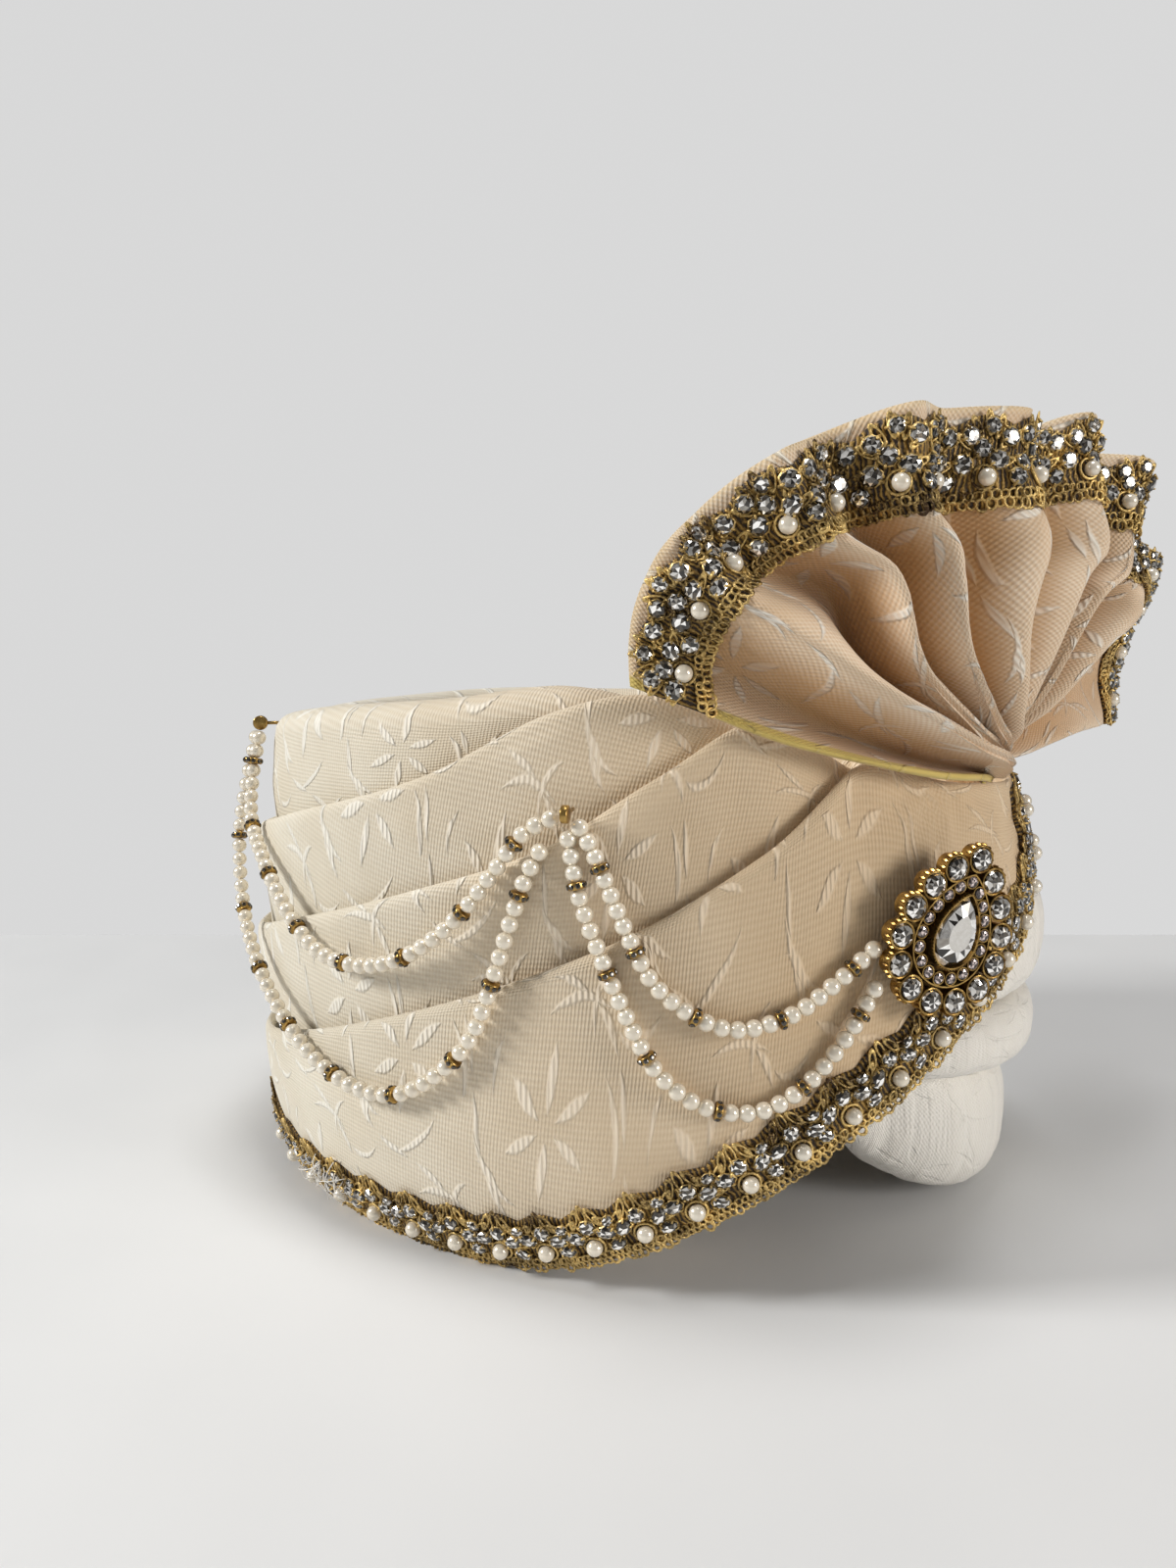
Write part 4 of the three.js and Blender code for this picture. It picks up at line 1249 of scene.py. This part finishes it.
# The brooch: a gilt pear of fourteen crystals in scalloped collets, a ring of small rose stones
# and one large clear pear in a bezel. A post behind it holds it on the wrap.
BROOCH_TURN, BROOCH_Z, BROOCH_STAND = 37.4, 109.0, 6.2
BROOCH_FACING, BROOCH_LEAN = 50.0, 21.0
BROOCH_PLATE, COLLET_TOP = 1.6, 5.6
OUTER_PEAR, INNER_PEAR, CENTRE_PEAR = (18.0, 21.0), (11.3, 14.2), (7.4, 10.4)

on_wrap = place(
    BROOCH_TURN, surface_radius(BROOCH_TURN, BROOCH_Z) + BROOCH_STAND, BROOCH_Z
)
brooch_place = (
    Matrix.Translation(on_wrap)
    @ Matrix.Rotation(math.radians(-BROOCH_FACING), 4, "Z")
    @ Matrix.Rotation(math.radians(90), 4, "X")
    @ Matrix.Rotation(math.radians(-BROOCH_LEAN), 4, "Z")
    @ Matrix.Scale(0.001, 4)
)


def pear_curve(half_width, half_height, count):
    """Places round a teardrop with its tip up, evenly spaced by length."""
    fine = []
    for i in range(361):
        a = math.radians(i)
        side = half_width * 1.12 * math.sin(a) * math.sin(a / 2) ** 0.55
        fine.append(Vector((side, half_height * math.cos(a), 0)))
    lengths = [0.0]
    for a, b in zip(fine, fine[1:]):
        lengths.append(lengths[-1] + (b - a).length)
    return [on_path((fine, lengths), lengths[-1] * i / count)[0] for i in range(count)]


def pear_wall(work, half_width, half_height, low, high, thick):
    """A standing wall on a teardrop."""
    rim = [work.verts.new(p + Vector((0, 0, low))) for p in pear_curve(half_width, half_height, 48)]
    edges = [work.edges.new((a, b)) for a, b in zip(rim, rim[1:] + rim[:1])]
    up = bmesh.ops.extrude_edge_only(work, edges=edges)["geom"]
    raised = corners(up)
    bmesh.ops.translate(work, verts=raised, vec=(0, 0, high - low))
    faces = [f for f in up if isinstance(f, bmesh.types.BMFace)]
    bmesh.ops.recalc_face_normals(work, faces=faces)
    bmesh.ops.solidify(work, geom=faces, thickness=thick)


setting, backing = bmesh.new(), bmesh.new()
plate = backing.faces.new([backing.verts.new(p) for p in pear_curve(*OUTER_PEAR, 56)])
plate_top = corners(bmesh.ops.extrude_face_region(backing, geom=[plate])["geom"])
bmesh.ops.translate(backing, verts=plate_top, vec=(0, 0, BROOCH_PLATE))
bmesh.ops.recalc_face_normals(backing, faces=backing.faces)
pear_wall(setting, INNER_PEAR[0] + 2.4, INNER_PEAR[1] + 2.4, 1.2, COLLET_TOP, 0.4)
pear_wall(setting, CENTRE_PEAR[0] + 0.6, CENTRE_PEAR[1] + 0.6, 1.2, 7.0, 0.4)
post = bmesh.ops.create_cone(
    setting, cap_ends=True, segments=12, radius1=1.2, radius2=1.2, depth=2.4
)["verts"]
bmesh.ops.translate(setting, verts=post, vec=(-4, 0, -1.1))


def collet(radius, low, high, wall=0.55, sides=20):
    """A round wall with a milled upper edge."""
    work = bmesh.new()
    bmesh.ops.create_circle(work, segments=sides, radius=radius)
    bmesh.ops.translate(work, verts=work.verts, vec=(0, 0, low))
    up = bmesh.ops.extrude_edge_only(work, edges=work.edges[:])["geom"]
    raised = corners(up)
    bmesh.ops.translate(work, verts=raised, vec=(0, 0, high - low))
    bmesh.ops.scale(work, verts=raised, vec=(1.04, 1.04, 1))
    bmesh.ops.recalc_face_normals(work, faces=work.faces)
    bmesh.ops.solidify(work, geom=work.faces[:], thickness=wall)
    return small_part(work)


outer_collet = collet(3.7, 1.0, COLLET_TOP, 0.35)
inner_collet = collet(1.95, 2.8, 5.4, 0.25, 14)
grain = ball(0.46, 1)
edge_wire = wire_ring(3.85, 0.22, 20, 6)
brooch_stones, small_stones = bmesh.new(), bmesh.new()
brooch_stones.faces.layers.float.new("facet")
small_stones.faces.layers.float.new("facet")
chance = Random(3)
fine_crystals = [cut_stone(12, 30 + seed, 0.5, 0.5, 0.5) for seed in range(4)]
for spot in pear_curve(*OUTER_PEAR, 14):
    out = spot.normalized()
    set_on(setting, outer_collet, Matrix.Translation(spot))
    set_on(setting, edge_wire, Matrix.Translation(spot + Vector((0, 0, COLLET_TOP))))
    for bead in range(7):
        a = math.radians(-78 + bead * 26) + math.atan2(out.y, out.x)
        rim_spot = spot + Vector((math.cos(a) * 4.2, math.sin(a) * 4.2, 4.4))
        set_on(setting, grain, Matrix.Translation(rim_spot) @ Matrix.Diagonal((1.2, 1.2, 3.2, 1)))
    lift = Matrix.Translation(spot + Vector((0, 0, 5.2)))
    spin = Matrix.Rotation(chance.uniform(0, 1), 4, "Z")
    set_on(brooch_stones, chance.choice(fine_crystals), lift @ spin @ Matrix.Scale(3.45, 4))
for spot in pear_curve(*INNER_PEAR, 18):
    set_on(setting, inner_collet, Matrix.Translation(spot))
    lift = Matrix.Translation(spot + Vector((0, 0, 5.3)))
    set_on(small_stones, chance.choice(crystals), lift @ Matrix.Scale(1.75, 4))
for spot in pear_curve(CENTRE_PEAR[0] + 0.7, CENTRE_PEAR[1] + 0.7, 60):
    set_on(setting, grain, Matrix.Translation(spot + Vector((0, 0, 6.9))) @ Matrix.Scale(0.7, 4))

centre = bmesh.new()
facet = centre.faces.layers.float.new("facet")
ring_of = []
for size, z in ((0.45, 1.9), (1.0, 5.6), (0.86, 7.0), (0.52, 8.0)):
    points = pear_curve(CENTRE_PEAR[0] * size, CENTRE_PEAR[1] * size, 16)
    ring_of.append([centre.verts.new(p + Vector((0, -0.6 * (1 - size), z))) for p in points])
ring_edges = [
    [centre.edges.new((a, b)) for a, b in zip(ring, ring[1:] + ring[:1])] for ring in ring_of
]
for low, high in zip(ring_edges, ring_edges[1:]):
    bmesh.ops.bridge_loops(centre, edges=low + high)
centre.faces.new(ring_of[-1])
centre.faces.new(ring_of[0])
bmesh.ops.triangulate(centre, faces=[f for f in centre.faces if len(f.verts) == 4])
bmesh.ops.recalc_face_normals(centre, faces=centre.faces)
# Painted glints on the large pear: its flat table and back are painted bright, its other facets bright
# or dark at random.
for face in centre.faces:
    face[facet] = 0.8 if len(face.verts) > 4 else chance.choice((0.0, 0.2, 0.55, 0.9, 1.0, 1.0))

# Painted glints: each facet's colour runs from dark to bright by its share of light.
rose_stone, start = new_finish("rose_crystal", {"Coat Weight": 1.0, "Coat Roughness": 0.03})
glint = start.node("Attribute", {"attribute_name": "facet"}, out=2)
feed(
    rose_stone,
    {
        "Base Color": (glint * glint).between((0.02, 0.012, 0.012), (0.90, 0.76, 0.73)),
        "Metallic": glint * 0.3 + 0.5,
        "Roughness": 0.14 - glint * 0.08,
    },
)
tarnished, start = new_finish("tarnished_gold", {"Specular IOR Level": 0.5})
wear = cloudy(start, 500.0, 3.0)
feed(
    tarnished,
    {
        "Base Color": (wear * 1.4 - 0.4).between((0.035, 0.018, 0.006), (0.34, 0.21, 0.06)),
        "Metallic": wear * 0.3 + 0.6,
        "Roughness": 0.62 - wear * 0.2,
        "Normal": bumped(wear, 0.0002, 0.6),
    },
)
brooch_pieces = (
    ("brooch_backing", backing, tarnished, True, (), "gold_metal"),
    ("brooch_gilt", setting, old_gold, True, ("brooch_setting",), "gold_metal"),
    (
        "brooch_crystals",
        brooch_stones,
        crystal,
        False,
        tuple(f"brooch_stone_{i + 1}" for i in range(14)),
        "crystal",
    ),
    ("brooch_rose_stones", small_stones, rose_stone, False, (), "crystal"),
    ("brooch_pear", centre, crystal, False, ("brooch_centre_stone",), "crystal"),
)
for name, work, finish, smooth, nodes, slot in brooch_pieces:
    work.transform(brooch_place)
    piece = keep(name, work, finish, smooth)
    if smooth:
        piece.data.set_sharp_from_angle(angle=math.radians(35))
    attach(piece, "root")
    if nodes:
        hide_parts(*nodes)

# Four swags of strung pearls with a gilt rondelle after every fifth, hung from two pins and the
# brooch over the right side.
STRAND_STAND, PEARL_SIZE, RONDELLE = 3.4, 5.0, 2.3
# name, then turn, height and how much further it stands out at places along it
STRANDS = (
    (
        "front_upper",
        (
            (85.2, 141.0, 0.5),
            (83.0, 133.0, 0),
            (80.3, 120.0, 0),
            (77.9, 108.3, 0),
            (74.9, 96.7, 0),
            (69.5, 87.5, 0),
            (64.5, 84.3, 0),
            (57.8, 88.0, 0),
            (52.5, 95.5, 0),
            (46.6, 106.0, 1.5),
        ),
    ),
    (
        "front_lower",
        (
            (86.4, 138.0, 0),
            (84.5, 120.0, 0),
            (81.7, 104.0, 0),
            (78.5, 88.0, 0),
            (74.5, 72.0, 0),
            (69.0, 62.6, 0),
            (62.0, 60.5, 0),
            (56.5, 66.5, 0),
            (51.0, 80.0, 0.5),
            (46.8, 95.5, 1.5),
        ),
    ),
    (
        "back_upper",
        (
            (87.6, 142.0, 0.5),
            (92.0, 137.0, 0),
            (96.0, 126.0, 0),
            (100.1, 114.4, 0),
            (105.0, 104.0, 0),
            (112.0, 94.8, 0),
            (119.5, 91.0, 0),
            (127.0, 92.5, 0),
            (135.0, 101.5, 0),
            (143.5, 114.0, 0.5),
            (152.0, 125.0, 1.5),
            (155.5, 138.0, 2.0),
            (156.5, 153.0, 2.5),
        ),
    ),
    (
        "back_lower",
        (
            (89.4, 134.0, 0),
            (91.6, 125.0, 0),
            (94.3, 107.6, 0),
            (96.5, 92.0, 0),
            (99.6, 75.8, 0),
            (105.0, 63.0, 0),
            (112.0, 53.8, 0),
            (120.0, 52.3, 0),
            (129.0, 57.0, 0),
            (137.5, 66.0, 0),
            (146.0, 78.0, 1.0),
            (154.0, 93.0, 2.5),
            (159.0, 118.0, 4.5),
            (161.0, 152.0, 4.0),
        ),
    ),
)
strand_pearl = ball(PEARL_SIZE / 2000, 3)
rondelle_work = bmesh.new()
bmesh.ops.create_cone(
    rondelle_work, cap_ends=True, segments=16, radius1=0.0026, radius2=0.0026, depth=0.0021
)
bmesh.ops.bevel(
    rondelle_work,
    geom=rondelle_work.edges[:],
    offset=0.0004,
    affect="EDGES",
    segments=2,
    profile=0.5,
    material=-1,
)
rondelle_body = small_part(rondelle_work)
# The rondelle stones get the darker painted glints.
rondelle_stone = cut_stone(6, 51, 0.5, 0.5, 0.3, DARK_GLINTS)


def along_z(way):
    return way.to_track_quat("Z", "Y").to_matrix().to_4x4()


for name, rows in STRANDS:
    path = smooth_path(
        place(turn, surface_radius(turn, z) + STRAND_STAND + out, z) for turn, z, out in rows
    )
    whole = path[1][-1]
    groups = round(whole / (5 * PEARL_SIZE + RONDELLE) * 1000)
    fit = whole / (groups * (5 * PEARL_SIZE + RONDELLE))
    pearls, rings, darks = bmesh.new(), bmesh.new(), bmesh.new()
    darks.faces.layers.float.new("facet")
    at = 0.0
    for group in range(groups):
        for bead in range(6):
            width = RONDELLE if bead == 3 else PEARL_SIZE
            spot, way = on_path(path, (at + width / 2) * fit)
            at += width
            if bead != 3:
                set_on(pearls, strand_pearl, Matrix.Translation(spot))
                continue
            turned = Matrix.Translation(spot) @ along_z(way)
            set_on(rings, rondelle_body, turned)
            for i in range(8):
                stone_place = (
                    turned
                    @ Matrix.Rotation(i * math.pi / 4, 4, "Z")
                    @ Matrix.Translation((0.0025, 0, 0))
                    @ Matrix.Rotation(math.pi / 2, 4, "Y")
                    @ Matrix.Scale(0.00085, 4)
                )
                set_on(darks, rondelle_stone, stone_place)
    strung = keep("pearls_" + name, pearls, pearl)
    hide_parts("pearl_strand_" + name)
    pieces = (
        (strung, "pearl"),
        (keep("rondelles_" + name, rings, old_gold), "gold_metal"),
        (keep("rondelle_stones_" + name, darks, crystal, False), "crystal"),
    )
    for piece, slot in pieces:
        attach(piece, "root")

# A tuft of loose white thread ends caught in the lace at the back.
loose = bmesh.new()
chance = Random(8)
for strand in range(16):
    start_turn = 128 + chance.uniform(-5, 4)
    reach = chance.uniform(10, 24)
    lean, sway = chance.uniform(-1.1, 0.9), chance.uniform(-5, 5)
    points = []
    for i in range(9):
        t = i / 8
        turn = start_turn - math.sin(lean) * reach * t / 2.2 + sway * t * t * 0.4
        height = max(1.0, 17 + math.cos(lean * 2) * reach * 0.35 * math.sin(t * 4 + sway) - 10 * t)
        out = 3.5 + 4 * math.sin(math.pi * t) + chance.uniform(-0.4, 0.4)
        points.append(place(turn, surface_radius(turn, height) + out, height))
    path = smooth_path(points)
    ring = bmesh.ops.create_circle(loose, segments=4, radius=0.00016)["verts"]
    spot, way = on_path(path, 0)
    bmesh.ops.transform(loose, verts=ring, matrix=Matrix.Translation(spot) @ along_z(way))
    edges = [edge for edge in loose.edges if edge.verts[0] in ring and edge.verts[1] in ring]
    for i in range(1, 15):
        made = bmesh.ops.extrude_edge_only(loose, edges=edges)["geom"]
        verts = corners(made)
        edges = [e for e in made if isinstance(e, bmesh.types.BMEdge)]
        edges = [e for e in edges if e.verts[0] in verts and e.verts[1] in verts]
        here, _ = on_path(path, path[1][-1] * i / 14)
        bmesh.ops.translate(loose, verts=verts, vec=here - spot)
        spot = here
bmesh.ops.holes_fill(loose, edges=[e for e in loose.edges if e.is_boundary], sides=4)
bmesh.ops.recalc_face_normals(loose, faces=loose.faces)
white_thread, start = new_finish("white_thread", {"Sheen Weight": 0.3})
twist = cloudy(start, 2000.0, 1.0)
feed(
    white_thread,
    {
        "Base Color": twist.between((0.80, 0.77, 0.71), (0.96, 0.95, 0.92)),
        "Roughness": 0.6 + twist * 0.3,
    },
)
tuft = keep("loose_threads", loose, white_thread)
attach(tuft, "root")

# The two pins that hold the swags: a wire shank in the cloth and a gilt rondelle for a head.
# node, turn, height
PINS = (("strand_pin_middle", 86.3, 143.0), ("strand_pin_back", 158.0, 155.5))
for node, turn, height in PINS:
    foot = place(turn, surface_radius(turn, height) - 2.0, height)
    head = place(turn, surface_radius(turn, height) + 6.4, height)
    work = bmesh.new()
    bmesh.ops.create_cone(
        work, cap_ends=True, segments=10, radius1=0.0006, radius2=0.0006, depth=(head - foot).length
    )
    bmesh.ops.translate(work, verts=work.verts, vec=(0, 0, -(head - foot).length / 2))
    set_on(work, rondelle_body, Matrix.Rotation(math.pi / 2, 4, "Y"))
    work.transform(Matrix.Translation(head) @ along_z((head - foot).normalized()))
    pin = keep(node.replace("strand", "swag"), work, old_gold)
    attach(pin, "root")
    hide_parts(node)
